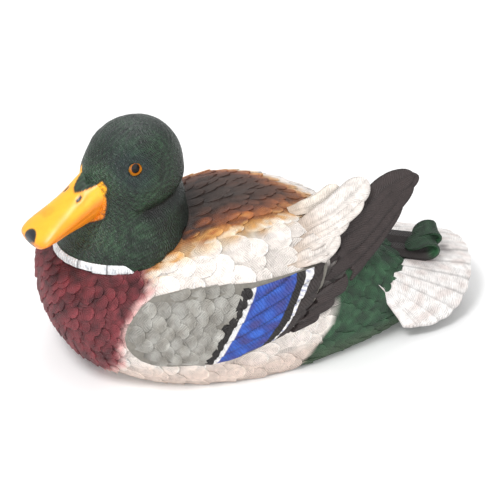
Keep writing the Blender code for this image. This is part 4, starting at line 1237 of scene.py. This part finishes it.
def head_skin():
    bm = merged("head_casting")
    whole = bm.verts[:] + bm.edges[:] + bm.faces[:]
    cut = bmesh.ops.bisect_plane(bm, geom=whole, plane_co=(0, 0, NECK_CUT * MM), plane_no=(0, 0, 1),
                                 clear_inner=True)
    bmesh.ops.holes_fill(bm, edges=[e for e in cut["geom_cut"] if isinstance(e, bmesh.types.BMEdge)])
    bmesh.ops.join_triangles(bm, faces=bm.faces, angle_face_threshold=0.7, angle_shape_threshold=0.9)
    mesh = bpy.data.meshes.new("head_base")
    bm.to_mesh(mesh)
    base = bpy.data.objects.new("head_base", mesh)
    bpy.context.scene.collection.objects.link(base)
    smooth = base.modifiers.new("smooth", "SUBSURF")
    smooth.levels = smooth.render_levels = 3
    graph = bpy.context.evaluated_depsgraph_get()
    skin = bpy.data.meshes.new_from_object(base.evaluated_get(graph))
    bpy.data.objects.remove(base)
    skin.name = "head"
    points = positions(skin)
    reach, side, z = head_measures(points)
    normal = np.zeros(len(points) * 3, np.float32)
    skin.vertices.foreach_get("normal", normal)
    normal = normal.reshape(-1, 3)
    push = -4.0 * np.exp(-((z - 131 + 0.12 * reach) / 5.0) ** 2) * ease(-reach, -26, -6)
    for depth, height, tall, ahead, long in SWELLS:
        push += depth * np.exp(-((z - height) / tall) ** 2 - ((reach - ahead) / long) ** 2)
    push += 0.16 * mottle(np.stack([reach * 0.2, side, z + 0.35 * reach], -1), 1.9, 87)
    push = push * ease(z, 92, 112)
    points = points + normal * (push * MM)[:, None]
    skin.vertices.foreach_set("co", points.astype(np.float32).ravel())
    set_paint(skin, head_paint(points))
    combed = bill_border(reach, side, z) < -1.5
    set_values(skin, "ahead", reach * combed)
    set_values(skin, "beside", z * 0.8 * combed)
    return bpy.data.objects.new("head", skin)


finish_piece(head_skin(), combed_acrylic, "painted_green", "head_casting")

# %% The bill
BILL_ROWS = [  # reach, centre height, half-width, half-height
    (26, 144.5, 14.8, 14.6), (34, 143.2, 15.8, 15.4), (42, 139.8, 15.4, 14.0), (52, 134.8, 15.0, 11.6),
    (64, 130.0, 15.8, 9.0), (76, 125.4, 17.0, 6.9), (83, 122.2, 16.8, 5.6), (87, 120.4, 14.0, 4.2),
    (88.4, 120.0, 8.0, 2.2),
]


BILL_LOWEST = 0.0  # the whole bill has the full turn


def bill_piece():
    rows, around = 96, 72
    line = spline([(r, c, w, h) for r, c, w, h in BILL_ROWS], rows)
    angle = np.linspace(0, 2 * math.pi, around, endpoint=False)
    cos, sin = np.cos(angle), np.sin(angle)
    grid = np.zeros((rows, around, 3))
    for r, (reach, centre, half, tall) in enumerate(line):
        side = half * np.sign(cos) * np.abs(cos) ** 0.92
        full = 1 + 0.42 * ease(reach, 30, 42) * (1 - ease(reach, 72, 87))
        up = tall * sin * np.where(sin < 0, full, 1)
        pinch = 1 - 0.035 * np.exp(-((up + 0.40 * tall) / 0.7) ** 2) * ease(reach, 30, 40)
        saddle = 5.0 * np.exp(-((side - WEDGE_SIDE) / 6.0) ** 2) * (1 - ease(reach, 36, 47)) * (sin > 0)
        nail = 0.9 * math.exp(-((reach - 86) / 3.0) ** 2) * np.exp(-(side / 4.5) ** 2) * (sin > 0)
        dent = 0.9 * np.exp(-((reach - NOSTRIL[0]) / 2.4) ** 2) * (sin > 0)
        dent = dent * np.exp(-((np.abs(side) - NOSTRIL[1]) / 1.4) ** 2)
        grid[r] = from_head(np.full(around, reach), side * pinch, centre + up - saddle + nail - dent)
    points = (grid * MM).reshape(-1, 3)
    faces = tube_faces(rows, around)
    faces.append(tuple(range(around)))
    faces.append(tuple((rows - 1) * around + c for c in reversed(range(around))))
    reach, side, _ = head_measures(points, BILL_LOWEST)
    return new_piece("bill_enamelled", [tuple(p) for p in points], faces,
                     head_paint(points, BILL_LOWEST), reach, side)


finish_piece(bill_piece(), bill_enamel, "bill_enamel", "bill")

# %% [markdown]
# ## The eyes
# Each eye is a low glass dome with a drawn-out front corner, amber round a black pupil.

# %% Eye domes with their lids
EYE_RADIUS = 8.8
EYE_PROUD = 2.0  # how far the dome's foot stands off the socket
EYE_SINK = 2.0   # how far its edge turns back in
CORNER = math.radians(215)


def eye_piece(name, hand):
    low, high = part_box("eye_" + name)
    centre = (low + high) / 2
    head_side = Vector((-math.sin(TURN), math.cos(TURN), 0)) * hand
    forward = Vector((-math.cos(TURN), -math.sin(TURN), 0))
    out = (head_side + Vector((0, 0, 0.25)) + forward * 0.45).normalized()
    forward = (forward - out * forward.dot(out)).normalized()
    above = Vector((0, 0, 1))
    above = (above - out * above.dot(out)).normalized()
    hit = head_tree.ray_cast(centre + out * 0.03, -out)[0]
    seat = hit + out * EYE_PROUD * MM
    rings, around = 26, 64
    verts, paint = [], []
    for k in range(rings + 1):
        share = k / rings
        for j in range(around):
            angle = 2 * math.pi * j / around
            gap = (angle - CORNER + math.pi) % (2 * math.pi) - math.pi
            corner = math.exp(-(gap / 0.34) ** 2)
            radius = EYE_RADIUS * (0.90 + 0.08 * abs(math.cos(angle)) + 0.48 * corner)
            flat = radius * share
            dome = 3.0 * math.sqrt(max(0, 1 - min(1, flat / (EYE_RADIUS * 1.05)) ** 2))
            lid = 1.3 * math.exp(-((share - 0.93) / 0.06) ** 2)
            place = seat + (forward * -math.cos(angle) + above * math.sin(angle)) * flat * MM
            sink = float(ease(share, 0.97, 1.0))
            place = place + out * ((dome + lid) * (1 - sink) - EYE_SINK * sink) * MM
            verts.append(tuple(place))
            px, pz = -flat * math.cos(angle), flat * math.sin(angle)
            pupil = math.hypot(px + 0.6, (pz - 0.2) * 0.85) / 3.0
            iris = mix(paint_code("#D97A1E"), paint_code("#F5AE3C"), float(ease(pupil, 1.0, 2.0)))
            colour = mix(paint_code("#0A0A0C"), iris, float(ease(pupil, 0.94, 1.08)))
            colour = mix(colour, "#101012", float(ease(share, 0.87, 0.92)))
            paint.append(colour)
    faces = tube_faces(rings + 1, around)
    faces.append(tuple(rings * around + j for j in range(around)))
    still = np.zeros(len(verts))
    return new_piece("glass_eye_" + name, verts, faces, paint, still, still, weld=True)


for name, hand in (("left", -1), ("right", 1)):
    finish_piece(eye_piece(name, hand), eye_glass, "eye_glass", "eye_" + name)

# %% [markdown]
# ## The white neck ring
# The ring is brushed on the lowest part of the neck, thick enough to stand proud.
# It stops at the sides of the neck, and a few dark nicks break it.

# %% The ring
RING_HALF_ANGLE = math.radians(80)
RING_TALL = 7.2
RING_NICKS = (-0.52, -0.93, 0.45, 1.0)  # where, in radians from the front


def on_neck(way, z):
    """The neck's skin in one direction from its axis, at a height."""
    far = Vector((NECK_X * MM, 0, z * MM)) + way * 0.12
    hit, out, _, _ = head_tree.ray_cast(far, -way)
    if hit is None:
        hit, out, _, _ = head_tree.find_nearest(far - way * 0.07)
    return hit, out


def neck_ring():
    columns, rows = 150, 8
    angles = np.linspace(-RING_HALF_ANGLE, RING_HALF_ANGLE, columns)
    top = np.zeros((rows, columns, 3))
    low = np.zeros_like(top)
    for c, angle in enumerate(angles):
        way = Vector((-math.cos(angle), math.sin(angle), 0))
        seam = None
        for z in np.arange(100, 70, -0.5):
            hit, out = on_neck(way, z)
            above = top_of_hull(hit.x, hit.y)
            if above is not None and above >= hit.z:
                seam = z
                break
        seam = 88.0 if seam is None else seam
        taper = float(1 - ease(abs(angle), RING_HALF_ANGLE * 0.82, RING_HALF_ANGLE))
        for r in range(rows):
            share = r / (rows - 1)
            z = seam - 1.2 + (RING_TALL * taper + 1.2) * share
            hit, out = on_neck(way, z)
            top[r, c] = hit + out * (0.25 + 0.75 * math.sin(math.pi * share) ** 0.5) * MM
            low[r, c] = hit - out * 0.6 * MM
    flat = top.reshape(-1, 3) / MM
    streak = mottle(flat * np.array([1, 1, 0.15]), 2.2, 91).reshape(rows, columns)
    colour = ramp(streak, [(-1, "#C9D0D6"), (-0.5, "#EEF1F4"), (1, "#FCFDFE")])
    nick = np.zeros(columns)
    for at in RING_NICKS:
        nick += np.exp(-((angles - at) / 0.014) ** 2)
    colour = mix(colour, "#3A3438", np.repeat(np.clip(nick, 0, 1)[None], rows, 0) * 0.85)
    sheet = Collected()
    sheet.sheet(top, low, colour, np.repeat(angles[None] * 45, rows, 0), np.zeros((rows, columns)))
    return sheet


finish_piece(neck_ring().build("neck_ring"), feather_acrylic, "painted_white")
finish_piece(body_skin, feather_acrylic, "painted_white", "hull_shell")

# %% [markdown]
# ## Fittings under the duck
# The base plate, screws, brass bushes, ring and plug keep their CAD shapes.
# They only need the right surfaces: marine board, rolled steel, turned brass,
# cast iron, moulded rubber, foam and beech.


# %% Plain finishes
def plain_finish(name, code, dark, metallic, roughness, size, stretch=(1, 1, 1), depth=0.0001):
    """A solid finish with grain of a real size, in millimetres, stretched along one way."""
    material, tree, shader = new_material(name)
    spot = add_node(tree, "ShaderNodeTexCoord")
    turn = add_node(tree, "ShaderNodeMapping", Vector=spot.outputs["Object"], Scale=stretch)
    grain = add_node(tree, "ShaderNodeTexNoise", Vector=turn.outputs[0], Scale=1000 / size, Detail=6.0)
    tint = add_node(tree, "ShaderNodeMix", {"data_type": "RGBA"}, i0=grain.outputs["Fac"],
                    i6=rgba(dark), i7=rgba(code))
    worn = add_node(tree, "ShaderNodeMapRange", i0=grain.outputs["Fac"], i1=0.2, i2=0.8,
                    i3=max(0.03, roughness - 0.12), i4=roughness + 0.12)
    bump = add_node(tree, "ShaderNodeBump", Strength=0.5, Distance=depth, Height=grain.outputs["Fac"])
    tree.links.new(tint.outputs[2], shader.inputs["Base Color"])
    tree.links.new(worn.outputs[0], shader.inputs["Roughness"])
    tree.links.new(bump.outputs[0], shader.inputs["Normal"])
    shader.inputs["Metallic"].default_value = metallic
    return material


FINISHES = {
    "board": plain_finish("sealed marine plywood", "#8A6B4A", "#6B4E33", 0, 0.55, 6, (0.12, 1, 1)),
    "steel": plain_finish("zinc plated steel", "#C3C6C8", "#9DA0A3", 1, 0.35, 1.5),
    "brass": plain_finish("turned brass", "#C9A24A", "#A67F33", 1, 0.30, 1.2, (1, 1, 6)),
    "iron": plain_finish("cast iron ballast", "#4B4A49", "#2E2D2C", 1, 0.65, 1.8),
    "rubber": plain_finish("moulded rubber", "#2A2A2B", "#19191A", 0, 0.75, 0.8),
    "foam": plain_finish("closed cell foam", "#E9E2CF", "#CFC5AD", 0, 0.9, 1.2),
    "dowel": plain_finish("beech dowel", "#C79E6B", "#A67B4B", 0, 0.6, 4, (1, 1, 0.15)),
    # The wing panels show as narrow edges round the coverts: grey acrylic with brush grain.
    "painted_wing": plain_finish("grey wing acrylic", "#8E8A82", "#5E5A52", 0, 0.62, 2.5),
    "painted_white": feather_acrylic, "painted_green": feather_acrylic,
    "painted_dark": feather_acrylic, "bill_enamel": bill_enamel, "eye_glass": eye_glass,
}
for part in frame["record"]["subparts"]:
    node = nodes[part["node"]]
    node.data.materials.clear()
    node.data.materials.append(FINISHES[part["material_slot"]])
bpy.data.objects.remove(feather)
print("finished nodes", len(nodes))
